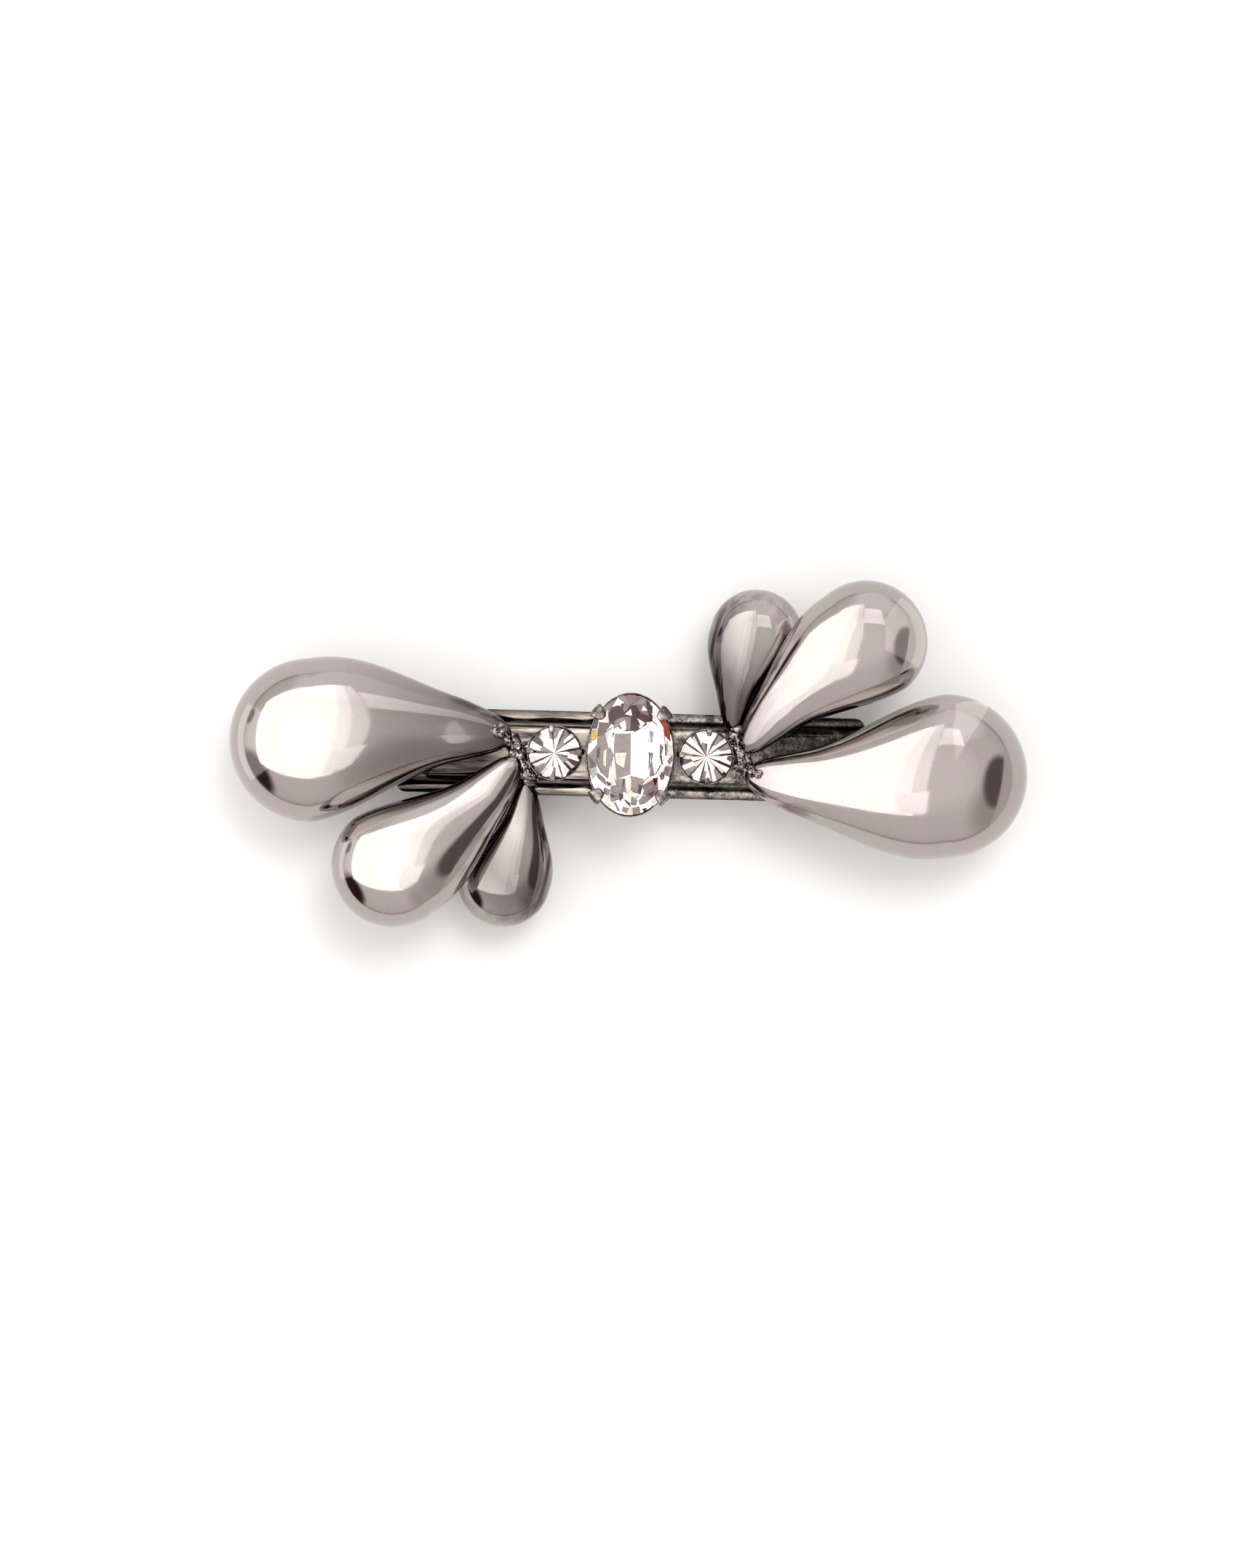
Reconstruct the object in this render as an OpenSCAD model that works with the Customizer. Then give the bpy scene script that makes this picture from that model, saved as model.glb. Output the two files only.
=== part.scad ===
// Statement hair clip: a French barrette with six hollow metal drops and three cut stones.
// X runs along the bar, Z is up through the stones, and the closed clip lies on its lever at z = 0.

/* [Petals] */
// Length of a large petal, tip to round end
large_len = 40.9; // [36:0.1:44]
// Radius of a large petal's round end
large_r = 11.85; // [10:0.05:12.5]
// Height of a large petal's dome above its seam
large_rise = 8.6; // [6:0.1:10]
// Depth of a large petal's back below its seam
large_back = 3.0; // [2:0.1:3.2]
// Length of a medium petal
medium_len = 32.8; // [29:0.1:35]
// Radius of a medium petal's round end
medium_r = 8.9; // [7.5:0.05:9.3]
// Height of a medium petal's dome above its seam
medium_rise = 6.8; // [5:0.1:8]
// Depth of a medium petal's back below its seam
medium_back = 2.2; // [1.5:0.1:2.5]
// Length of a small petal
small_len = 21.8; // [19:0.1:24]
// Radius of a small petal's round end
small_r = 6.75; // [5.5:0.05:7]
// Height of a small petal's dome above its seam
small_rise = 5.1; // [4:0.1:6]
// Depth of a small petal's back below its seam
small_back = 1.8; // [1.2:0.1:2]
// Sheet thickness of the petal shells
petal_wall = 0.5; // [0.4:0.05:0.7]
// Half width of a petal's neck as a share of its round end's radius
neck_ratio = 0.32; // [0.25:0.01:0.4]
// How late the neck swells into the round end
neck_power = 2.45; // [1.8:0.05:3]
// Share of the length over which the tip is rounded off
tip_round = 0.2; // [0.1:0.01:0.3]

/* [Petal setting] */
// Height of the large petals' seam at the tip
large_tip_z = 11.6; // [11.4:0.1:12.5]
// Height of the medium petals' seam at the tip
medium_tip_z = 12.0; // [11.8:0.1:12.5]
// Height of the small petals' seam at the tip
small_tip_z = 10.3; // [10.2:0.1:10.6]
// Droop of the medium petals, in degrees
medium_droop = -1.5; // [-3:0.5:0]
// Droop of the small petals, in degrees
small_droop = 10.5; // [10:0.5:12]
// Sideways bow of a large petal's middle line
large_bow = -1.4; // [-2:0.1:0]
// Sideways bow of a medium petal's middle line
medium_bow = 1.3; // [0:0.1:1.5]
// Sideways bow of a small petal's middle line
small_bow = 0.7; // [0:0.1:1]

/* [Stones] */
// Width of the oval stone with its cup, across the clip
oval_x = 12.9; // [12:0.1:14]
// Length of the oval stone with its cup
oval_y = 18.0; // [16:0.1:19]
// Height of the oval stone's girdle above the rib
oval_girdle = 4.6; // [4:0.1:5]
// Height of the oval stone's table above its girdle
oval_crown = 1.9; // [1.5:0.1:2.2]
// Diameter of a round cup
round_d = 8.0; // [7:0.1:8.2]
// Distance of the round stones from the middle
round_at = 10.95; // [10.8:0.05:11.2]
// Height of a round stone's girdle above the rib
round_girdle = 3.3; // [3:0.1:3.8]
// Height of a round stone's table above its girdle
round_crown = 1.2; // [1:0.1:1.5]
// Sheet thickness of the cups at the rim
cup_rim = 0.2; // [0.15:0.05:0.3]

/* [Bar] */
// Length of the bar
bar_len = 68; // [66:0.5:70]
// Width of the bar
bar_wid = 12.3; // [12:0.1:13]
// Sheet thickness of the bar
bar_t = 0.8; // [0.6:0.1:0.9]
// Radius of the bar's corners
bar_corner = 1.6; // [1:0.2:4]
// Length of the raised rib
rib_len = 59.4; // [56:0.2:60]
// Width of the raised rib at its foot
rib_wid = 8.4; // [8:0.1:9]
// Height of the raised rib
rib_rise = 1.0; // [0.8:0.1:1]

/* [Clip] */
// Clear height between the lever and the bar
clip_gap = 7.0; // [6.8:0.1:7.4]
// Sheet thickness of the lever
lever_t = 1.0; // [0.8:0.1:1.1]
// Width of the lever
lever_wid = 9.0; // [8.6:0.1:9]
// Width of the lever's long slot
slot_wid = 3.6; // [3:0.1:4]
// Diameter of the hinge pin
pin_d = 1.6; // [1.4:0.1:1.8]
// Distance of the hinge pin from the middle
pin_at = 30; // [29.5:0.1:30.5]
// Height of the hinge pin
pin_z = 3.2; // [3.1:0.1:3.3]
// Width of the tension spring
spring_wid = 4.8; // [4:0.1:5]
// Thickness of the tension spring
spring_t = 0.4; // [0.3:0.05:0.5]
// Lowest point of the tension spring's middle line
spring_low = 5.75; // [5.7:0.05:6]
// Sheet thickness of the clasp
clasp_t = 0.5; // [0.4:0.05:0.6]

/* [Hidden] */
$fn = 48;
eps = 0.01;

// Where each petal's tip sits and which way the petal points: x, y, heading in degrees
LEFT_LARGE = [-17.2, 2.5, 183];
LEFT_MEDIUM = [-16.05, -0.9, 221.8];
LEFT_SMALL = [-14.9, -4.2, 258.3];
RIGHT_LARGE = [16.6, -2.7, 1.7];
RIGHT_MEDIUM = [16.1, 1.0, 42.8];
RIGHT_SMALL = [14.8, 3.4, 78];
petal_rows = 20;
petal_cols = 8;

// Heights that stack up from the lever
bar_z = lever_t + clip_gap;
flange_top = bar_z + bar_t;
rib_top = flange_top + rib_rise;
rib_slope = 0.9;

// Hinge
pin_r = pin_d / 2;
run_gap = 0.05;
ear_t = 0.8;
side_gap = 0.2;
lever_ear_y = lever_wid / 2 - ear_t;
bar_ear_y = lever_wid / 2 + side_gap;
pin_reach = bar_ear_y + ear_t;
pin_head_r = 1.25;
pin_head_t = 0.4;
bar_ear_r = 2;
lever_ear_r = 1.8;

// Lever
lever_tail = 2.5;
joggle_from = 21;
joggle_to = 23;
joggle = 1.3;
lever_end = 33.8;
slot_from = -25;
slot_to = 19;
window_from = 25;
window_to = 31.6;
window_half = 2.95;

// Tension spring
spring_eye_r = 1.3;
spring_eye_half = 3.4;
spring_bow = 0.0018;
spring_mid = 2;
spring_from = -22;
spring_to = 22;
spring_steps = 16;
spring_neck_x = -27.5;
spring_neck_z = 4.75;

// Clasp
clasp_from = 25.4;
clasp_to = 33.4;
clasp_half = 1.85;
wing_axis_y = 2.3;
wing_axis_z = 7.5;
wing_bead_r = 0.35;
wing_from = 26;
wing_to = 30.6;
wing_foot = 0.4;
nose_reach = 0.3;
nose_top = 1.15;
tab_foot = 3.2;
tab_top = 6.9;
rivet_at = 31.6;
rivet_r = 0.8;
rivet_head_r = 1.4;
rivet_head_t = 0.4;

// Clasp tabs, as outer corners seen from above
TAB_CORNERS = [[33.3, 4.45], [36.2, 5.3], [36.05, 5.8], [33.0, 4.92]];
tab_lap = 0.3;
tab_root = 0.6;

// Solder beads: x, y, z, radius
LEFT_BEADS = [[-17.4, 1.6, 10.6, 1.5], [-16.2, -0.4, 10.9, 1.6], [-15.3, -2.6, 10.6, 1.5]];
RIGHT_BEADS = [[17.0, -1.6, 10.6, 1.5], [16.1, 0.4, 10.9, 1.6], [15.3, 2.2, 10.6, 1.5]];

// Cut of the stones: depths, then radii and heights of the facet rings as shares
round_depth = 2.9;
oval_depth = 4.1;
oval_keel = 5;
girdle_t = 0.25;
keel_t = 0.3;
table_share = 0.58;
crown_ring = 0.86;
crown_ring_at = 0.45;
back_ring = 0.6;
back_ring_at = 0.5;

// Claws of the round cups
round_claw_wid = 0.9;
round_claw_foot = 1.2;
round_claw_bend = 0.95;
round_claw_reach = 1;
round_claw_in = 0.15;
round_claw_out = 0.3;
round_claw_bulge = 0.35;

// Claws of the oval cup
oval_claw_wid = 1.6;
oval_claw_at = 42;
oval_claw_turn = 40;
oval_claw_t = 0.3;
oval_claw_out = 0.25;
oval_claw_foot = -1.4;
oval_claw_knee = 0.4;
oval_claw_reach = 1.2;
oval_claw_top = 1.15;

// Cups
cup_seat = 0.05;
round_lip = 0.15;
oval_lip = 0.2;
cup_floor = 0.3;

// ---------- outlines and helpers ----------

module rounded_plate(long, wid, r) {
    square([long - 2 * r, wid], center = true);
    square([long, wid - 2 * r], center = true);
    for (sx = [-1, 1], sy = [-1, 1]) translate([sx * (long / 2 - r), sy * (wid / 2 - r)]) circle(r);
}

// Raised block with four sloping sides, on z = 0
module hipped_block(long, wid, rise, slope) {
    intersection() {
        rotate([90, 0, 90]) linear_extrude(long + 2, center = true)
            polygon([[-wid / 2, 0], [wid / 2, 0], [wid / 2 - slope, rise], [slope - wid / 2, rise]]);
        rotate([90, 0, 0]) linear_extrude(wid + 2, center = true)
            polygon([[-long / 2, 0], [long / 2, 0], [long / 2 - slope, rise], [slope - long / 2, rise]]);
    }
}

// Cylinder along Y through the hinge axis
module hinge_axis_cylinder(r, half_len) {
    translate([-pin_at, 0, pin_z]) rotate([90, 0, 0]) cylinder(h = 2 * half_len, r = r, center = true);
}

// A pair of ears at the hinge, each from height z0 or z1 to the pin
module ear_pair(y_in, r, z_root) {
    for (s = [-1, 1]) {
        translate([-pin_at, s * (y_in + ear_t / 2), pin_z])
            rotate([90, 0, 0]) cylinder(h = ear_t, r = r, center = true);
        translate([-pin_at, s * (y_in + ear_t / 2), (pin_z + z_root) / 2])
            cube([2 * r, ear_t, abs(z_root - pin_z)], center = true);
    }
}

// ---------- petals ----------

function swell(s) = neck_ratio + (1 - neck_ratio) * pow(sin(90 * s), neck_power);
function tip_rounding(u) = sqrt(1 - pow(1 - min(1, u / tip_round), 2));
function half_width(u, long, r) =
    let (p = 1 - r / long)
    u < p ? r * swell(u / p) * tip_rounding(u) : r * sqrt(max(0, 1 - pow((u - p) / (1 - p), 2)));
function bow_at(u, long, r, bow) = bow * sin(180 * min(1, u / (1 - r / long)));
function station(i) = 0.5 - 0.5 * cos(180 * i / petal_rows);

// Points across one half section of a petal, from one side of the seam over the dome to the other
function half_section(u, long, r, bow, rise, inset) =
    let (
        full = half_width(u, long, r),
        high = rise * full / r,
        w = full - inset,
        h = inset > 0 ? max(high - inset, high / 3) : high,
        mid = bow_at(u, long, r, bow)
    )
    [for (j = [0:petal_cols]) let (a = 180 * j / petal_cols) [u * long, mid + w * cos(a), h * sin(a)]];

// Triangles over a grid of half sections with a single point at each end
function skin(base, tip, end) =
    let (cols = petal_cols, n = cols + 1, last = petal_rows - 2)
    concat(
        [for (i = [0:last - 1], j = [0:cols - 1], k = [0, 1])
            let (a = base + i * n + j)
            k == 0 ? [a, a + n, a + n + 1] : [a, a + n + 1, a + 1]],
        [for (j = [0:cols - 1]) [tip, base + j, base + j + 1]],
        [for (j = [0:cols - 1]) [end, base + last * n + j + 1, base + last * n + j]]
    );
function flipped(faces) = [for (f = faces) [f[0], f[2], f[1]]];

// Indices round the seam, from the tip along one side to the end and back along the other
function seam(base, tip, end) =
    let (n = petal_cols + 1, last = petal_rows - 2)
    concat(
        [tip], [for (i = [0:last]) base + i * n],
        [end], [for (i = [last:-1:0]) base + i * n + petal_cols]
    );

// Half a petal as a hollow shell, open at its seam in the plane z = 0, tip at the origin
module petal_shell(long, r, bow, rise) {
    cut = petal_wall / long;
    outer = [for (i = [1:petal_rows - 1]) each half_section(station(i), long, r, bow, rise, 0)];
    inner = [for (i = [1:petal_rows - 1])
        each half_section(cut + (1 - 2 * cut) * station(i), long, r, bow, rise, petal_wall)];
    n_skin = len(outer);
    poles = [[0, 0, 0], [long, 0, 0], [petal_wall, 0, 0], [long - petal_wall, 0, 0]];
    outer_seam = seam(0, 2 * n_skin, 2 * n_skin + 1);
    inner_seam = seam(n_skin, 2 * n_skin + 2, 2 * n_skin + 3);
    count = len(outer_seam);
    rim = [for (i = [0:count - 1], k = [0, 1])
        let (j = (i + 1) % count)
        k == 0
            ? [outer_seam[i], inner_seam[i], inner_seam[j]]
            : [outer_seam[i], inner_seam[j], outer_seam[j]]];
    polyhedron(
        points = concat(outer, inner, poles),
        faces = concat(
            skin(0, 2 * n_skin, 2 * n_skin + 1),
            flipped(skin(n_skin, 2 * n_skin + 2, 2 * n_skin + 3)),
            rim
        )
    );
}

module placed(at, tip_z, droop) {
    translate([at[0], at[1], tip_z]) rotate([0, droop, at[2]]) children();
}
module petal_front(at, tip_z, droop, long, r, bow, rise) {
    color("#d0c9c8") placed(at, tip_z, droop) petal_shell(long, r, bow, rise);
}
module petal_back(at, tip_z, droop, long, r, bow, depth) {
    color("#a9a2a2") placed(at, tip_z, droop) mirror([0, 0, 1]) petal_shell(long, r, bow, depth);
}

module left_large_petal() {
    petal_front(LEFT_LARGE, large_tip_z, 0, large_len, large_r, large_bow, large_rise);
}
module right_large_petal() {
    petal_front(RIGHT_LARGE, large_tip_z, 0, large_len, large_r, large_bow, large_rise);
}
module left_large_back() {
    petal_back(LEFT_LARGE, large_tip_z, 0, large_len, large_r, large_bow, large_back);
}
module right_large_back() {
    petal_back(RIGHT_LARGE, large_tip_z, 0, large_len, large_r, large_bow, large_back);
}
module left_medium_petal() {
    petal_front(LEFT_MEDIUM, medium_tip_z, medium_droop, medium_len, medium_r, medium_bow, medium_rise);
}
module right_medium_petal() {
    petal_front(RIGHT_MEDIUM, medium_tip_z, medium_droop, medium_len, medium_r, medium_bow, medium_rise);
}
module left_medium_back() {
    petal_back(LEFT_MEDIUM, medium_tip_z, medium_droop, medium_len, medium_r, medium_bow, medium_back);
}
module right_medium_back() {
    petal_back(RIGHT_MEDIUM, medium_tip_z, medium_droop, medium_len, medium_r, medium_bow, medium_back);
}
module left_small_petal() {
    petal_front(LEFT_SMALL, small_tip_z, small_droop, small_len, small_r, small_bow, small_rise);
}
module right_small_petal() {
    petal_front(RIGHT_SMALL, small_tip_z, small_droop, small_len, small_r, small_bow, small_rise);
}
module left_small_back() {
    petal_back(LEFT_SMALL, small_tip_z, small_droop, small_len, small_r, small_bow, small_back);
}
module right_small_back() {
    petal_back(RIGHT_SMALL, small_tip_z, small_droop, small_len, small_r, small_bow, small_back);
}

// ---------- solder that holds the three tips on the rib ----------

// Beads of x, y, z, radius, flat underneath
module solder(beads) {
    color("#b9b1af") difference() {
        for (b = beads) translate([b[0], b[1], b[2]]) sphere(b[3]);
        translate([0, 0, rib_top - 5]) cube([60, 30, 10], center = true);
    }
}
module left_solder() { solder(LEFT_BEADS); }
module right_solder() { solder(RIGHT_BEADS); }

// ---------- stones and their cups ----------

function oval_ring(rx, ry, count, turn) =
    [for (i = [0:count - 1]) let (a = 360 * (i + turn) / count) [rx * cos(a), ry * sin(a)]];

// A thin slice that a stone's hull is stretched over
module slice(z, rx, ry, count, turn) {
    translate([0, 0, z]) linear_extrude(eps) polygon(oval_ring(rx, ry, count, turn));
}

// Cut stone: table, girdle and a pavilion that ends in a keel along Y
module stone(rx, ry, girdle, crown, depth, keel, count) {
    color("#f4f1f4", 0.8) hull() {
        slice(girdle + crown, rx * table_share, ry * table_share, count / 2, 0);
        slice(girdle + crown * crown_ring_at, rx * crown_ring, ry * crown_ring, count / 2, 0.5);
        slice(girdle + girdle_t / 2, rx, ry, count, 0);
        slice(girdle - girdle_t / 2, rx, ry, count, 0);
        slice(girdle - depth * back_ring_at, rx * back_ring, ry * back_ring, count / 2, 0.5);
        translate([0, 0, girdle - depth]) cube([keel_t, keel + keel_t, eps], center = true);
    }
}
module round_stone(x) {
    r = round_d / 2 - cup_rim;
    translate([x, 0, rib_top]) stone(r, r, round_girdle, round_crown, round_depth, 0, 16);
}
module oval_stone() {
    translate([0, 0, rib_top])
        stone(oval_x / 2 - cup_rim, oval_y / 2 - cup_rim, oval_girdle, oval_crown, oval_depth, oval_keel, 24);
}
module left_stone() { round_stone(-round_at); }
module right_stone() { round_stone(round_at); }

// A claw that stands on the rim at the origin and bends inward, -X, over the stone's edge
module round_claw() {
    knee = round_claw_bend * 0.3;
    shoulder = round_claw_bend * 0.75;
    rotate([90, 0, 0]) linear_extrude(round_claw_wid, center = true)
        polygon([
            [-round_claw_in, -round_claw_foot], [round_claw_out, -round_claw_foot],
            [round_claw_bulge, knee], [round_claw_in, shoulder], [-round_claw_reach, round_claw_bend],
            [-round_claw_reach - eps, shoulder], [-round_claw_bulge, knee]
        ]);
}

// A thick claw of two blended lengths: a post outside the rim and a finger over the stone
module oval_claw() {
    w = oval_claw_wid;
    t = oval_claw_t;
    out = oval_claw_out;
    hull() {
        translate([out - t / 2, 0, oval_claw_foot]) cube([t, w * 0.6, t], center = true);
        translate([out, 0, oval_claw_knee - t / 4]) cube([2 * out, w, t], center = true);
    }
    hull() {
        translate([out, 0, oval_claw_knee]) cube([2 * out, w, t], center = true);
        translate([-oval_claw_reach, 0, oval_claw_top]) cube([t, w * 0.5, t], center = true);
    }
}

module round_setting(x) {
    r = round_d / 2;
    low = round_girdle - cup_rim;
    lip = round_girdle + round_lip;
    seat = r - cup_rim + cup_seat;
    color("#5c5654") translate([x, 0, rib_top]) {
        rotate_extrude($fn = 64) polygon([
            [0, 0], [r * 0.66, 0], [r, low], [r, lip],
            [seat, lip], [seat, low], [r * 0.5, cup_floor], [0, cup_floor]
        ]);
        for (a = [0:90:270]) rotate([0, 0, a]) translate([r, 0, round_girdle]) round_claw();
    }
}
module left_setting() { round_setting(-round_at); }
module right_setting() { round_setting(round_at); }

module oval_cup(rx, ry, low, high, foot_share) {
    hull() {
        slice(low, rx * foot_share, ry * foot_share, 48, 0);
        slice(high - 0.5, rx, ry, 48, 0);
        slice(high - eps, rx, ry, 48, 0);
    }
}
module oval_setting() {
    rx = oval_x / 2;
    ry = oval_y / 2;
    inset = cup_rim - cup_seat;
    lip = oval_girdle + oval_lip;
    color("#5c5654") translate([0, 0, rib_top]) {
        difference() {
            oval_cup(rx, ry, 0, lip, 0.6);
            oval_cup(rx - inset, ry - inset, cup_floor, lip + 0.1, 0.53);
        }
        for (sx = [-1, 1], sy = [-1, 1])
            translate([sx * rx * cos(oval_claw_at), sy * ry * sin(oval_claw_at), oval_girdle])
                rotate([0, 0, atan2(sy * sin(oval_claw_turn), sx * cos(oval_claw_turn))])
                    oval_claw();
    }
}

// ---------- barrette ----------

module bar() {
    color("#6a6562") difference() {
        union() {
            translate([0, 0, bar_z]) linear_extrude(bar_t) rounded_plate(bar_len, bar_wid, bar_corner);
            translate([0, 0, flange_top - eps]) hipped_block(rib_len, rib_wid, rib_rise + eps, rib_slope);
            ear_pair(bar_ear_y, bar_ear_r, bar_z + eps);
        }
        translate([0, 0, bar_z - eps])
            hipped_block(rib_len - 2 * bar_t, rib_wid - 2 * bar_t, rib_rise + eps, rib_slope);
        hinge_axis_cylinder(pin_r, pin_reach + 1);
        translate([rivet_at, 0, bar_z - 1]) cylinder(h = bar_t + 2, r = rivet_r);
    }
}

module hinge_pin() {
    color("#8d8886") {
        hinge_axis_cylinder(pin_r, pin_reach);
        for (s = [-1, 1]) translate([-pin_at, s * (pin_reach + pin_head_t / 2), pin_z])
            rotate([90, 0, 0]) cylinder(h = pin_head_t, r = pin_head_r, center = true);
    }
}

module lever() {
    tail = -pin_at - lever_tail;
    span = lever_end - tail;
    color("#8a8583") difference() {
        union() {
            intersection() {
                rotate([90, 0, 0]) linear_extrude(lever_wid + 2, center = true)
                    polygon([
                        [tail, 0], [joggle_from, 0], [joggle_to, joggle], [lever_end, joggle],
                        [lever_end, joggle + lever_t], [joggle_to, joggle + lever_t],
                        [joggle_from, lever_t], [tail, lever_t]
                    ]);
                translate([tail + span / 2, 0, -1]) linear_extrude(10)
                    rounded_plate(span, lever_wid, 2);
            }
            ear_pair(lever_ear_y, lever_ear_r, lever_t / 2);
        }
        hinge_axis_cylinder(pin_r + run_gap, lever_wid);
        translate([(slot_from + slot_to) / 2, 0, -1]) linear_extrude(4)
            rounded_plate(slot_to - slot_from, slot_wid, slot_wid / 2 - eps);
        translate([(window_from + window_to) / 2, 0, 0]) linear_extrude(6)
            rounded_plate(window_to - window_from, 2 * window_half, 0.5);
    }
}

function spring_z(x) = spring_low + spring_bow * pow(x - spring_mid, 2);

module tension_spring() {
    xs = [for (i = [0:spring_steps]) spring_from + (spring_to - spring_from) * i / spring_steps];
    h = spring_t / 2;
    neck = [[-pin_at, pin_z + spring_eye_r - spring_t / 2], [spring_neck_x, spring_neck_z]];
    line = concat(neck, [for (x = xs) [x, spring_z(x)]]);
    last = len(line) - 1;
    color("#98928f") difference() {
        union() {
            rotate([90, 0, 0]) linear_extrude(spring_wid, center = true)
                polygon(concat(
                    [for (p = line) [p[0], p[1] - h]],
                    [for (i = [last:-1:0]) [line[i][0], line[i][1] + h]]
                ));
            hinge_axis_cylinder(spring_eye_r, spring_eye_half);
        }
        hinge_axis_cylinder(pin_r + run_gap, spring_eye_half + 1);
    }
}

module clasp_base() {
    color("#7d7876") difference() {
        translate([(clasp_from + clasp_to) / 2, 0, bar_z - clasp_t]) linear_extrude(clasp_t)
            rounded_plate(clasp_to - clasp_from, 2 * clasp_half, 0.6);
        translate([rivet_at, 0, bar_z - 2]) cylinder(h = 4, r = rivet_r);
    }
}

module clasp_rivet() {
    color("#a09a97") translate([rivet_at, 0, 0]) {
        translate([0, 0, bar_z - clasp_t]) cylinder(h = clasp_t + bar_t, r = rivet_r);
        translate([0, 0, bar_z - clasp_t - rivet_head_t]) cylinder(h = rivet_head_t, r = rivet_head_r);
        translate([0, 0, flange_top]) cylinder(h = rivet_head_t, r = rivet_head_r);
    }
}

// The wing on the +Y side
module clasp_wing() {
    y0 = wing_axis_y - clasp_t / 2;
    y1 = wing_axis_y + clasp_t / 2;
    wing_mid = (wing_from + wing_to) / 2;
    color("#9a9492") {
        translate([wing_from, y0, wing_foot]) cube([wing_to - wing_from, clasp_t, wing_axis_z - wing_foot]);
        translate([wing_mid, wing_axis_y, wing_axis_z]) rotate([0, 90, 0])
            cylinder(h = wing_to - wing_from, r = wing_bead_r, center = true);
        translate([wing_mid, 0, 0]) rotate([90, 0, 90])
            linear_extrude(wing_to - wing_from - tab_root, center = true)
            polygon([
                [y1 - eps, wing_foot], [y1 + nose_reach, nose_top - 0.3],
                [y1 + nose_reach, nose_top], [y1 - eps, nose_top]
            ]);
        translate([0, 0, tab_foot]) linear_extrude(tab_top - tab_foot)
            polygon(concat(
                [[wing_to - tab_lap, y0], [wing_to + tab_root, y0]],
                TAB_CORNERS,
                [[wing_to + tab_lap, y1], [wing_to - tab_lap, y1]]
            ));
    }
}
module clasp_wing_back() { clasp_wing(); }
module clasp_wing_front() { mirror([0, 1, 0]) clasp_wing(); }

bar();
hinge_pin();
lever();
tension_spring();
clasp_base();
clasp_rivet();
clasp_wing_front();
clasp_wing_back();
oval_setting();
left_setting();
right_setting();
oval_stone();
left_stone();
right_stone();
left_large_petal();
left_medium_petal();
left_small_petal();
right_large_petal();
right_medium_petal();
right_small_petal();
left_large_back();
left_medium_back();
left_small_back();
right_large_back();
right_medium_back();
right_small_back();
left_solder();
right_solder();
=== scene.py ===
"""Looks of the rhinestone hair clip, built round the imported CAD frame. Lengths are in millimetres."""
import math
import random
from collections import namedtuple

import bmesh
import bpy
from mathutils import Matrix, Vector, noise


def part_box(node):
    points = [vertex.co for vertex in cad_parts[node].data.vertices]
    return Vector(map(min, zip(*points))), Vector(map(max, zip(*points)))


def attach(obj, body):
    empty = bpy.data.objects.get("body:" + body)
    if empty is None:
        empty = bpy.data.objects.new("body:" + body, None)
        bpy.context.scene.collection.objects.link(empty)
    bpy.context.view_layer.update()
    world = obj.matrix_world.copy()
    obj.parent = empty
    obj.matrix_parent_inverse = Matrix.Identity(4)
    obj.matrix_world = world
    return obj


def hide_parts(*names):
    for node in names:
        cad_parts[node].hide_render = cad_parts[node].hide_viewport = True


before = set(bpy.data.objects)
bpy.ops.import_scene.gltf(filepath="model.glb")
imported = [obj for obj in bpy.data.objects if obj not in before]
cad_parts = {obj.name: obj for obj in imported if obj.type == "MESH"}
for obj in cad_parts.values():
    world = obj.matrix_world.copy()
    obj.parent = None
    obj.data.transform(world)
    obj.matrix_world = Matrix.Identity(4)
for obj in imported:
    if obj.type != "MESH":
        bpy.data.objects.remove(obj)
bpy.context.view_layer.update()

MM = 0.001


def low(node):
    """Lowest corner of a CAD node."""
    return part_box(node)[0] / MM


def high(node):
    """Highest corner of a CAD node."""
    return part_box(node)[1] / MM


# ---------- heights and sizes taken from the frame ----------
BAR_HALF = Vector((high("bar").x, high("bar").y))
BAR_SHEET = 0.8
RIB_TOP = low("left_setting").z
RIB_RISE = 1.0
FLANGE_TOP = RIB_TOP - RIB_RISE
# How far the cups' rims stand past the stones
CUP_WALL = 0.2
ROUND_AT = (low("right_stone").x + high("right_stone").x) / 2
ROUND_X = {"left": -ROUND_AT, "right": ROUND_AT}
ROUND_R = (high("right_stone").x - low("right_stone").x) / 2 + CUP_WALL
ROUND_GIRDLE = RIB_TOP + 3.3
OVAL_HALF = Vector((high("oval_stone").x + CUP_WALL, high("oval_stone").y + CUP_WALL))
OVAL_GIRDLE = RIB_TOP + 4.6
PIN_LOW, PIN_HIGH = low("hinge_pin"), high("hinge_pin")
PIN = Vector(((PIN_LOW.x + PIN_HIGH.x) / 2, 0, (PIN_LOW.z + PIN_HIGH.z) / 2))


# ---------- objects and meshes ----------
def linked(name, data):
    """An object in the scene, from a mesh, a light or a camera."""
    obj = bpy.data.objects.new(name, data)
    bpy.context.scene.collection.objects.link(obj)
    return obj


def make_object(name, verts, faces, materials, smooth_angle=35, face_slots=None):
    """A mesh object from points in millimetres."""
    mesh = bpy.data.meshes.new(name)
    mesh.from_pydata([Vector(v) * MM for v in verts], [], faces)
    for material in materials:
        mesh.materials.append(material)
    if face_slots:
        mesh.polygons.foreach_set("material_index", face_slots)
    return finish_mesh(name, mesh, smooth_angle)


def finish_mesh(name, mesh, smooth_angle):
    """An object in the scene; edges up to smooth_angle degrees look round, and 0 leaves all flat."""
    mesh.validate()
    mesh.update()
    if smooth_angle:
        mesh.shade_smooth()
        mesh.set_sharp_from_angle(angle=math.radians(smooth_angle))
    return linked(name, mesh)


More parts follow.
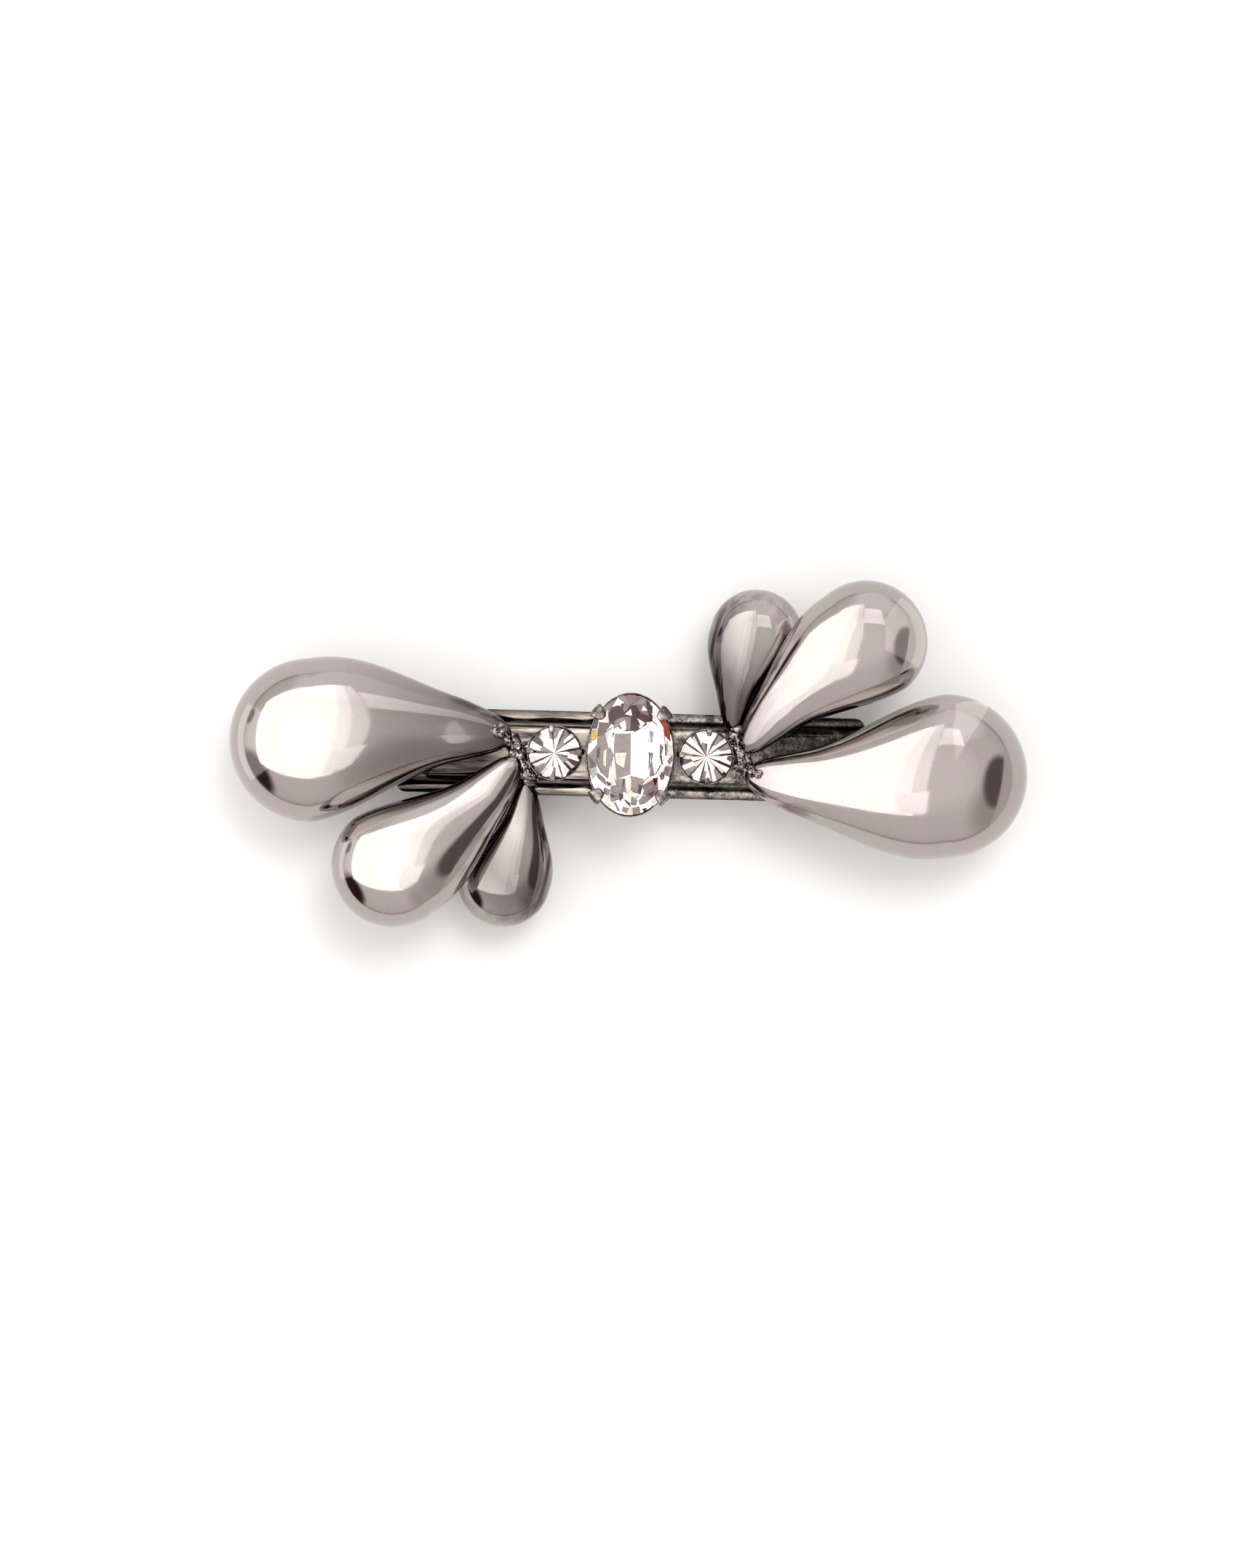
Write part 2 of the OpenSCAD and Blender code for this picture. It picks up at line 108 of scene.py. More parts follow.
def mesh_from(name, bm, materials):
    """The mesh of a bmesh that is needed no more."""
    mesh = bpy.data.meshes.new(name)
    bm.to_mesh(mesh)
    bm.free()
    for material in materials:
        mesh.materials.append(material)
    return mesh


def from_bmesh(name, bm, material, smooth_angle):
    """A mesh object from a bmesh, with its faces turned outward."""
    bmesh.ops.recalc_face_normals(bm, faces=bm.faces)
    return finish_mesh(name, mesh_from(name, bm, [material]), smooth_angle)


def bevel(obj, width, angle):
    """Break the edges sharper than angle degrees."""
    modifier = obj.modifiers.new("edges", "BEVEL")
    modifier.width = width * MM
    modifier.segments = 2
    modifier.limit_method = "ANGLE"
    modifier.angle_limit = math.radians(angle)


def applied(obj):
    """obj with its modifiers worked into its mesh."""
    bpy.context.view_layer.update()
    shape = obj.evaluated_get(bpy.context.evaluated_depsgraph_get())
    mesh = bpy.data.meshes.new_from_object(shape)
    obj.modifiers.clear()
    obj.data = mesh
    return obj


def joined(name, objects):
    """One object from several, in the order given."""
    bm = bmesh.new()
    materials = []
    for obj in objects:
        mesh = obj.data
        offset = len(bm.faces)
        index = []
        for material in mesh.materials:
            if material not in materials:
                materials.append(material)
            index.append(materials.index(material))
        bm.from_mesh(mesh)
        bm.faces.ensure_lookup_table()
        for face in bm.faces[offset:]:
            face.material_index = index[face.material_index]
        bpy.data.objects.remove(obj)
    return linked(name, mesh_from(name, bm, materials))


def quad(i, j, n):
    """Corners of cell i, j in a grid of points with n in a row."""
    a = i * n + j
    return (a, a + n, a + n + 1, a + 1)


def stands_for(obj, node):
    """Show obj in place of a CAD node of the clip's body."""
    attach(obj, "clip")
    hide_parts(node)


def direction(azimuth, elevation):
    """Unit vector towards a point of the room, in degrees."""
    a, e = math.radians(azimuth), math.radians(elevation)
    return Vector((math.cos(a) * math.cos(e), math.sin(a) * math.cos(e), math.sin(e)))


# ---------- node trees ----------
class Tree:
    """A node tree, with the helpers that the materials and the sky share."""

    def __init__(self, tree):
        self.nodes = tree.nodes
        self.links = tree.links

    def axes(self, vector):
        """The X, Y and Z parts of a vector, by name."""
        split = self.nodes.new("ShaderNodeSeparateXYZ")
        self.links.new(vector, split.inputs["Vector"])
        return split.outputs

    def vector_math(self, operation, vector, other=(0, 0, 0)):
        """The outputs of one vector operation."""
        node = self.nodes.new("ShaderNodeVectorMath")
        node.operation = operation
        self.links.new(vector, node.inputs[0])
        node.inputs[1].default_value = other
        return node.outputs

    def share(self, source, start, end, interpolation="LINEAR"):
        """How far source has come from start to end, from 0 to 1."""
        node = self.nodes.new("ShaderNodeMapRange")
        node.interpolation_type = interpolation
        node.inputs["From Min"].default_value = start
        node.inputs["From Max"].default_value = end
        self.links.new(source, node.inputs["Value"])
        return node.outputs["Result"]

    def ramp(self, source, *stops):
        """A colour ramp; each stop is (position, grey or colour)."""
        ramp = self.nodes.new("ShaderNodeValToRGB")
        elements = ramp.color_ramp.elements
        while len(elements) < len(stops):
            elements.new(0.5)
        for element, (position, value) in zip(elements, stops):
            element.position = position
            color = (value,) * 3 if isinstance(value, (int, float)) else value
            element.color = (*color, 1)
        self.links.new(source, ramp.inputs["Fac"])
        return ramp.outputs["Color"]

    def mixed(self, factor, first, second, blend="MIX"):
        """first and second are sockets or colours; factor is a socket or a number."""
        mix = self.nodes.new("ShaderNodeMix")
        mix.data_type = "RGBA"
        mix.blend_type = blend
        for socket, value in (("Factor", factor), ("A", first), ("B", second)):
            target = [i for i in mix.inputs if i.name == socket and i.enabled][0]
            if isinstance(value, bpy.types.NodeSocket):
                self.links.new(value, target)
            elif isinstance(value, (int, float)):
                target.default_value = value
            else:
                target.default_value = (*value, 1)
        return [o for o in mix.outputs if o.enabled][0]

    def product(self, first, second):
        """Two colours multiplied."""
        return self.mixed(1.0, first, second, "MULTIPLY")


# ---------- materials ----------
class Surface(Tree):
    """A Principled material."""

    def __init__(self, name, color, roughness, metallic=0.0):
        self.material = bpy.data.materials.new(name)
        self.material.use_nodes = True
        super().__init__(self.material.node_tree)
        self.shader = self.nodes["Principled BSDF"]
        self.set("Base Color", (*color, 1))
        self.set("Metallic", metallic)
        self.set("Roughness", roughness)
        coordinates = self.nodes.new("ShaderNodeTexCoord").outputs
        self.place = coordinates["Object"]
        self.facing = coordinates["Normal"]

    def set(self, socket, value):
        """Give the shader's own socket a constant."""
        self.shader.inputs[socket].default_value = value

    def drive(self, socket, source):
        """Feed the shader's socket from the tree."""
        self.links.new(source, self.shader.inputs[socket])

    def noise(self, size, detail=3.0, rough=0.5, stretch=(1, 1, 1), heading=0.0):
        """Noise whose features are about size millimetres across, in axes turned by heading degrees."""
        mapping = self.nodes.new("ShaderNodeMapping")
        mapping.vector_type = "TEXTURE"
        mapping.inputs["Scale"].default_value = [1 / k for k in stretch]
        mapping.inputs["Rotation"].default_value = (0, 0, math.radians(heading))
        self.links.new(self.place, mapping.inputs["Vector"])
        texture = self.nodes.new("ShaderNodeTexNoise")
        texture.inputs["Scale"].default_value = 1 / (size * MM)
        texture.inputs["Detail"].default_value = detail
        texture.inputs["Roughness"].default_value = rough
        self.links.new(mapping.outputs["Vector"], texture.inputs["Vector"])
        return texture.outputs["Fac"]

    def reach(self, source, span):
        """Distance from zero along one axis, as a share of span millimetres."""
        size = self.nodes.new("ShaderNodeMath")
        size.operation = "ABSOLUTE"
        self.links.new(source, size.inputs[0])
        return self.share(size.outputs["Value"], 0, span * MM)

    def from_middle(self, span):
        """Distance from the Z axis, as a share of span millimetres."""
        flat = self.vector_math("MULTIPLY", self.place, (1, 1, 0))["Vector"]
        return self.share(self.vector_math("LENGTH", flat)["Value"], 0, span * MM)

    def upward(self):
        """How far the surface faces up, from 0 on a wall to 1 on a level top."""
        return self.axes(self.facing)["Z"]

    def bump(self, *layers):
        """Each layer is (height source, distance in millimetres, strength)."""
        last = None
        for source, distance, strength in layers:
            node = self.nodes.new("ShaderNodeBump")
            node.inputs["Distance"].default_value = distance * MM
            node.inputs["Strength"].default_value = strength
            self.links.new(source, node.inputs["Height"])
            if last:
                self.links.new(last, node.inputs["Normal"])
            last = node.outputs["Normal"]
        self.links.new(last, self.shader.inputs["Normal"])


PLATING = (0.42, 0.379, 0.362)
# Painted shade on each drop's plating, standing in for dim reflections: (millimetres from the clip's
# middle, share of full brightness)
PAINTED_SHADES = {
    ("left", "large"): ((18, 0.3), (25, 0.45), (32, 0.66), (39, 0.85), (46, 1.0)),
    ("left", "medium"): ((15, 0.5), (18, 0.85), (22, 1.0)),
    ("left", "small"): ((14, 0.3), (17.5, 0.6), (19.5, 0.8), (22, 0.62), (26, 0.42), (29, 0.6), (31, 0.9)),
    ("right", "large"): ((16, 0.3), (18, 0.7), (21, 1.0)),
    ("right", "medium"): ((15, 0.3), (18, 0.62), (23, 0.95), (27, 1.0)),
    ("right", "small"): ((14, 0.1), (18, 0.22), (22, 0.6), (26, 0.85), (30, 1.0)),
}
PAINTED_SHADE_SPAN = 60.0


def mirror_chrome(name, stain_and_painted_shade, heading):
    """Bright warm plating with a faint pearly bloom and fine grain.

    Its painted shade darkens it by distance, standing in for dim reflections; heading is the way the
    painted reflection streaks on the neck run, in degrees.
    """
    s = Surface(name, PLATING, metallic=1.0, roughness=0.06)
    bloom = s.ramp(
        s.noise(8, 2), (0.34, PLATING), (0.43, (0.433, 0.373, 0.372)), (0.5, PLATING),
        (0.57, (0.408, 0.391, 0.357)), (0.66, PLATING),
    )
    grain = s.ramp(s.noise(0.16, 1), (0.25, 0.88), (0.75, 1.0))
    plating = s.product(bloom, grain)
    # Painted reflections: dark lengthwise streaks along the neck's steep sides.
    painted_streaks = s.ramp(
        s.noise(1.3, 2, 0.5, (0.025, 1, 1), heading),
        (0.38, (0.2, 0.15, 0.15)), (0.46, (0.68, 0.64, 0.63)), (0.53, (1, 1, 1)),
    )
    far = s.from_middle(PAINTED_SHADE_SPAN)
    neck = s.ramp(far, (0.34, 1.0), (0.56, 0.0))
    steep = s.ramp(s.upward(), (0.62, 1.0), (0.88, 0.08))
    streaked = s.mixed(s.product(neck, steep), plating, s.product(plating, painted_streaks))
    # Painted shade by distance from the clip's middle, standing in for dim reflections.
    painted_shade = s.ramp(far, *((distance / PAINTED_SHADE_SPAN, shade) for distance, shade in stain_and_painted_shade))
    s.drive("Base Color", s.product(streaked, painted_shade))
    s.drive("Roughness", s.ramp(s.noise(3.5, 5, 0.6), (0.35, 0.05), (0.75, 0.15)))
    s.bump((s.noise(7, 1), 0.2, 0.16), (s.noise(0.3, 2), 0.01, 0.08))
    return s.material


# Where the bar turns from polished to satin; the spans that its painted fold highlights and shade and its
# painted shade at the ends are shares of
SATIN_FROM, SATIN_TO = -3, 7
FOLD_LIGHT_SPAN = 6.2
SHADED_END_SPAN = 40


def gunmetal():
    """The bar: polished dark nickel at one end, speckled and satin towards the other, with painted
    highlights and shade along its folds and painted shade at its ends.
    """
    s = Surface("gunmetal", (0.12, 0.1, 0.09), metallic=1.0, roughness=0.2)
    at = s.axes(s.place)
    satin = s.share(at["X"], SATIN_FROM * MM, SATIN_TO * MM)
    speckle = s.ramp(
        s.noise(0.7, 8, 0.85),
        (0.38, (0.07, 0.052, 0.047)), (0.48, (0.42, 0.37, 0.335)), (0.6, (0.8, 0.73, 0.66)),
    )
    stain_and_painted_shade = s.ramp(s.noise(2.6, 6, 0.7), (0.42, 0.3), (0.5, 1.0))
    streak = s.ramp(
        s.noise(1.1, 5, 0.65, (0.12, 1, 1)),
        (0.34, (0.07, 0.053, 0.047)), (0.48, (0.32, 0.27, 0.24)), (0.64, (0.68, 0.61, 0.53)),
    )
    metal = s.mixed(satin, streak, s.product(speckle, stain_and_painted_shade))
    # Painted highlights on the rib's shoulders and the beads, painted shade in the gutters between them.
    fold_highlights_and_shade = s.ramp(
        s.reach(at["Y"], FOLD_LIGHT_SPAN), (0.44, 0.42), (0.53, 0.75), (0.585, 1.0), (0.64, 0.3),
        (0.7, 0.05), (0.78, 0.07), (0.83, 0.7), (0.89, 0.42), (0.95, 0.2),
    )
    # Painted shade: the bar darkens towards its ends, where the drops hang over it.
    shaded_ends = s.ramp(s.reach(at["X"], SHADED_END_SPAN), (0.44, 1.0), (0.53, 0.22))
    s.drive("Base Color", s.product(s.product(metal, fold_highlights_and_shade), shaded_ends))
    polished = s.ramp(s.noise(1.2, 4), (0.3, 0.06), (0.7, 0.16))
    rough = s.ramp(s.noise(0.4, 5), (0.3, 0.26), (0.7, 0.45))
    s.drive("Roughness", s.mixed(satin, polished, rough))
    s.bump((s.noise(0.35, 5, 0.7), 0.02, 0.3), (s.noise(3, 2, 0.5, (0.25, 1, 1)), 0.12, 0.35))
    return s.material


def dark_nickel():
    """The claw cups: dark plate with lighter worn patches."""
    s = Surface("dark_nickel", (0.3, 0.27, 0.26), metallic=1.0, roughness=0.2)
    s.drive("Base Color", s.ramp(
        s.noise(0.9, 4, 0.6),
        (0.34, (0.05, 0.037, 0.037)), (0.5, (0.15, 0.125, 0.12)), (0.7, (0.36, 0.32, 0.305)),
    ))
    s.drive("Roughness", s.ramp(s.noise(0.5, 4), (0.3, 0.1), (0.75, 0.3)))
    s.bump((s.noise(0.5, 3), 0.03, 0.3))
    return s.material


def bright_solder():
    """Lumpy solder: shiny, with painted shade in its hollows."""
    s = Surface("bright_solder", (0.55, 0.5, 0.49), metallic=1.0, roughness=0.14)
    # Painted shade: the colour follows the same noise as the bump, darker in its hollows and lighter on its
    # rises.
    s.drive("Base Color", s.ramp(
        s.noise(0.8, 4, 0.6),
        (0.36, (0.05, 0.032, 0.034)), (0.5, (0.2, 0.165, 0.16)), (0.66, (0.46, 0.42, 0.4)),
    ))
    s.drive("Roughness", s.ramp(s.noise(0.8, 4), (0.3, 0.07), (0.7, 0.26)))
    s.bump((s.noise(0.8, 4, 0.6), 0.08, 0.5))
    return s.material


def pressed_steel(name, color, along=(0.12, 1, 1)):
    """Nickel plated sheet with faint drawing lines along X."""
    s = Surface(name, color, metallic=1.0, roughness=0.25)
    dark = tuple(c * 0.78 for c in color)
    s.drive("Base Color", s.ramp(s.noise(1.6, 4, 0.6, along), (0.3, dark), (0.68, color)))
    s.drive("Roughness", s.ramp(s.noise(0.25, 3, 0.6, along), (0.3, 0.16), (0.7, 0.34)))
    s.bump((s.noise(0.12, 2, 0.5, along), 0.006, 0.25), (s.noise(3, 2), 0.05, 0.15))
    return s.material


def crystal():
    """Body of a cut stone: clear glass with a trace of tint."""
    s = Surface("crystal", (1.0, 0.985, 0.99), roughness=0.0)
    s.set("Transmission Weight", 1.0)
    s.set("IOR", 1.45)
    s.set("Specular IOR Level", 0.2)
    s.drive("Base Color", s.ramp(s.noise(1.4, 2), (0.3, (1, 0.985, 0.975)), (0.7, (0.985, 0.985, 1))))
    return s.material


# Painted reflections: each tone stands in for what the stones' facets reflect, laid on their foil.
PAINTED_REFLECTION_TONES = {
    "white": (0.97, 0.955, 0.945),
    "cream": (0.78, 0.7, 0.6),
    "taupe": (0.27, 0.225, 0.215),
    "smoke": (0.08, 0.06, 0.06),
    "wine": (0.045, 0.012, 0.018),
    "mauve": (0.24, 0.15, 0.165),
    "rust": (0.3, 0.055, 0.02),
    "gold": (0.62, 0.42, 0.12),
    "violet": (0.34, 0.32, 0.55),
}


def reflection_foil(name, color):
    """Mirror foil behind the glass in a painted reflection tone, one of the tones the facets throw back."""
    s = Surface(f"foil_{name}", color, metallic=1.0, roughness=0.03)
    pale = tuple(min(1, c * 1.12) for c in color)
    deep = tuple(c * 0.8 for c in color)
    s.drive("Base Color", s.ramp(s.noise(0.5, 4, 0.65), (0.34, deep), (0.5, color), (0.66, pale)))
    return s.material


def paper():
    """The pale sheet that the clip lies on."""
    s = Surface("paper", (0.9, 0.895, 0.895), roughness=0.85)
    s.drive("Base Color", s.ramp(s.noise(40, 2), (0.3, (0.895, 0.89, 0.89)), (0.7, (0.905, 0.9, 0.9))))
    return s.material


# ---------- petals ----------
# The neck's share of the full width, how late it swells, and the tip's share of the length
NECK_RATIO, NECK_POWER, TIP_ROUND = 0.32, 2.45, 0.2
PETAL_SHEET = 0.5
PETAL_ROWS, PETAL_COLS = 110, 44
# radius is the round end's; rise and depth are the front's and the back's height; seam_z is at the tip;
# bow bends the middle line sideways; droop is in degrees
Petal = namedtuple("Petal", "length radius rise depth bow seam_z droop")
PETALS = {
    "large": Petal(40.9, 11.85, 8.6, 3.0, -1.4, 11.6, 0.0),
    "medium": Petal(32.8, 8.9, 6.8, 2.2, 1.3, 12.0, -1.5),
    "small": Petal(21.8, 6.75, 5.1, 1.8, 0.7, 10.3, 10.5),
}
# tip x, tip y, heading in degrees
PLACES = {
    ("left", "large"): (-17.2, 2.5, 183),
    ("left", "medium"): (-16.05, -0.9, 221.8),
    ("left", "small"): (-14.9, -4.2, 258.3),
    ("right", "large"): (16.6, -2.7, 1.7),
    ("right", "medium"): (16.1, 1.0, 42.8),
    ("right", "small"): (14.8, 3.4, 78.0),
}


def half_width(u, petal):
    """Half width of a petal a share u of the way from its tip to its round end."""
    p = 1 - petal.radius / petal.length
    if u >= p:
        return petal.radius * math.sqrt(max(0.0, 1 - ((u - p) / (1 - p)) ** 2))
    swell = NECK_RATIO + (1 - NECK_RATIO) * math.sin(math.pi / 2 * u / p) ** NECK_POWER
    return petal.radius * swell * math.sqrt(1 - (1 - min(1, u / TIP_ROUND)) ** 2)


def half_section(u, petal, rise, inset):
    """Points across a petal's front (rise above 0) or back (below), inset from its outer skin."""
    full = half_width(u, petal)
    tall = abs(rise) * full / petal.radius
    wide = full - inset
    tall_in = max(tall - inset, tall / 3) if inset else tall
    middle = petal.bow * math.sin(math.pi * min(1, u / (1 - petal.radius / petal.length)))
    points = []
    for j in range(PETAL_COLS + 1):
        a = math.pi * j / PETAL_COLS
        z = math.copysign(tall_in * math.sin(a), rise)
        points.append((u * petal.length, middle + wide * math.cos(a), z))
    return points


def petal_shell(name, petal, place, rise, material):
    """Half a petal: an outer and an inner skin, joined round the seam."""
    x, y, heading = place
    to_place = (
        Matrix.Translation((x, y, petal.seam_z))
        @ Matrix.Rotation(math.radians(heading), 4, "Z")
        @ Matrix.Rotation(math.radians(petal.droop), 4, "Y")
    )
    cut = PETAL_SHEET / petal.length
    n, last = PETAL_COLS + 1, PETAL_ROWS - 2
    verts, faces, seams = [], [], []
    for inset in (0, PETAL_SHEET):
        base = len(verts)
        for i in range(1, PETAL_ROWS):
            u = 0.5 - 0.5 * math.cos(math.pi * i / PETAL_ROWS)
            u = cut + (1 - 2 * cut) * u if inset else u
            verts += half_section(u, petal, rise, inset)
        tip, end = len(verts), len(verts) + 1
        verts += [(inset, 0, 0), (petal.length - inset, 0, 0)]
        cells = [quad(i, j, n) for i in range(last) for j in range(PETAL_COLS)]
        skin = [(base + a, base + d, base + c, base + b) for a, b, c, d in cells]
        skin += [(tip, base + j + 1, base + j) for j in range(PETAL_COLS)]
        skin += [(end, base + last * n + j, base + last * n + j + 1) for j in range(PETAL_COLS)]
        faces += [f[::-1] for f in skin] if inset else skin
        there = [base + i * n for i in range(last + 1)]
        back = [base + i * n + PETAL_COLS for i in range(last, -1, -1)]
        seams.append([tip, *there, end, *back])
    outer, inner = seams
    for i in range(len(outer)):
        k = (i + 1) % len(outer)
        faces.append((outer[i], outer[k], inner[k], inner[i]))
    if rise < 0:
        faces = [f[::-1] for f in faces]
    return make_object(name, [to_place @ Vector(v) for v in verts], faces, [material], smooth_angle=50)


def petals():
    """Front and back shell of all six drops, each drop with its own plating material and its own painted
    shade.
    """
    for (side, size), place in PLACES.items():
        drop, petal = f"{side}_{size}", PETALS[size]
        material = mirror_chrome(f"mirror_chrome_{drop}", PAINTED_SHADES[side, size], heading=place[2])
        front = petal_shell(f"{drop}_drop_front", petal, place, petal.rise, material)
        stands_for(front, f"{drop}_petal")
        rear = petal_shell(f"{drop}_drop_back", petal, place, -petal.depth, material)
        stands_for(rear, f"{drop}_back")


# ---------- stones ----------
FOIL_SHEET = 0.04
SEEDS = {"oval": 3, "left": 5, "right": 12}
BRIGHT = [("white", 6), ("cream", 2), ("taupe", 2)]
# Rings of corners from the table down: (shares of the girdle in x and y, height, corners, turn in steps)
ROUND_CUT = [
    (0.5, 0.5, 1.05, 8, 0.5), (0.8, 0.8, 0.55, 8, 0), (1, 1, 0.12, 16, 0), (1, 1, -0.12, 16, 0),
    (0.6, 0.6, -1.45, 8, 0.5),
]
ROUND_CULET = [(0, 0, -2.9)]
OVAL_CUT = [
    (0.5, 0.54, 1.75, 12, 0.5), (0.84, 0.84, 0.62, 12, 0), (1, 1, 0.12, 24, 0), (1, 1, -0.12, 24, 0),
    (0.6, 0.6, -2.05, 12, 0.5),
]
OVAL_KEEL = [(x, y, -4.1) for x in (0.15, -0.15) for y in (2.65, -2.65)]


def spoke(a, r):
    """The point at angle a and distance r."""
    return (r * math.cos(a), r * math.sin(a))


def ring(rx, ry, z, count, turn=0):
    """count points round an ellipse, turned by a share of a step."""
    step = 2 * math.pi / count
    return [(rx * math.cos(step * (i + turn)), ry * math.sin(step * (i + turn)), z) for i in range(count)]


def cut_corners(rx, ry, cut, foot):
    """Corners of a cut stone with girdle half axes rx and ry."""
    points = []
    for share_x, share_y, z, count, turn in cut:
        points += ring(rx * share_x, ry * share_y, z, count, turn)
    return points + foot


def glass(name, centre, points, material):
    """A stone whose facets are the flat sides of the points' hull."""
    bm = bmesh.new()
    for p in points:
        bm.verts.new((Vector(p) + centre) * MM)
    hull = bmesh.ops.convex_hull(bm, input=bm.verts)
    spare = [v for v in hull["geom_interior"] + hull["geom_unused"] if isinstance(v, bmesh.types.BMVert)]
    bmesh.ops.delete(bm, geom=list(set(spare)), context="VERTS")
    bmesh.ops.recalc_face_normals(bm, faces=bm.faces)
    bmesh.ops.dissolve_limit(bm, angle_limit=math.radians(0.8), verts=bm.verts, edges=bm.edges)
    return from_bmesh(name, bm, material, smooth_angle=0)


def reflection_foil_bed(name, centre, layers, reflection_foils):
    """Thin facets of foil inside a stone, coloured with painted reflections: each layer is (height, tilt,
    [(tone, outline), ...]).
    """
    tones = list(reflection_foils)
    verts, faces, slots = [], [], []
    for z, tilt, facets in layers:
        for tone, outline in facets:
            n = len(outline)
            mx = sum(x for x, y in outline) / n
            my = sum(y for x, y in outline) / n
            turn = random.uniform(0, 2 * math.pi)
            lean = math.tan(math.radians(random.uniform(0.2, 1) * tilt))
            gx, gy = spoke(turn, lean)
            base = len(verts)
            for x, y in outline:
                lift = z + (x - mx) * gx + (y - my) * gy
                verts += [Vector((x, y, lift)) + centre, Vector((x, y, lift - FOIL_SHEET)) + centre]
            faces.append(tuple(base + 2 * i for i in range(n)))
            faces.append(tuple(base + 2 * i + 1 for i in reversed(range(n))))
            slots += [tones.index(tone)] * (2 + n)
            for i in range(n):
                k = (i + 1) % n
                faces.append((base + 2 * k, base + 2 * i, base + 2 * i + 1, base + 2 * k + 1))
    bed = make_object(name, verts, faces, [reflection_foils[t] for t in tones], smooth_angle=0, face_slots=slots)
    bm = bmesh.new()
    bm.from_mesh(bed.data)
    bmesh.ops.recalc_face_normals(bm, faces=bm.faces)
    bm.to_mesh(bed.data)
    bm.free()
    return bed


def pick(weights):
    """One tone, drawn by weight."""
    roll = random.uniform(0, sum(w for _, w in weights))
    for tone, weight in weights:
        roll -= weight
        if roll <= 0:
            return tone
    return weights[-1][0]


def fan(radius):
    """Facets of a round brilliant, each in a painted reflection tone: spokes from the middle, then kites
    and slivers out to the girdle.
    """
    count, inner = 13, radius * 0.5
    start = random.uniform(0, 0.5)
    a, marks = start, []
    for i in range(count):
        wide = 2 * math.pi / count * random.uniform(0.58, 0.76)
        after = start + 2 * math.pi * (i + 1) / count
        marks.append((a, a + wide, after))
        a = after
    facets = []
    for a0, a1, a2 in marks:
        mid = (a0 + a1) / 2
        root0, root1, root2 = (spoke(a, inner) for a in (a0, a1, a2))
        tip = spoke(mid, inner * 1.12)
        rim0, rim_mid = spoke(a0 - 0.06, radius), spoke((a0 + mid) / 2, radius)
        rim1, rim2 = spoke(a1 + 0.02, radius), spoke(a2 - 0.06, radius)
        facets += [
            (pick([("white", 7), ("cream", 3), ("taupe", 1)]), [(0, 0), root0, tip, root1]),
            (pick([("wine", 5), ("taupe", 4), ("smoke", 2), ("cream", 1)]), [(0, 0), root1, root2]),
            (pick(BRIGHT), [root0, rim0, rim_mid, tip]),
            (pick([("white", 5), ("cream", 1), ("taupe", 2), ("smoke", 1)]), [tip, rim_mid, rim1, root1]),
            (pick([("wine", 5), ("taupe", 3), ("smoke", 4), ("white", 2)]), [root1, rim1, rim2, root2]),
        ]
    return facets


def round_stone(side, material, reflection_foils):
    """A round cut stone over its bed of foil painted with reflections."""
    r = ROUND_R - CUP_WALL
    centre = Vector((ROUND_X[side], 0, ROUND_GIRDLE))
    random.seed(SEEDS[side])
    body = glass(f"{side}_cut_stone", centre, cut_corners(r, r, ROUND_CUT, ROUND_CULET), material)
    bed = reflection_foil_bed(f"{side}_foil", centre, [(-0.05, 4, fan(r * 0.97))], reflection_foils)
    stands_for(joined(f"{side}_brilliant", [body, bed]), f"{side}_stone")
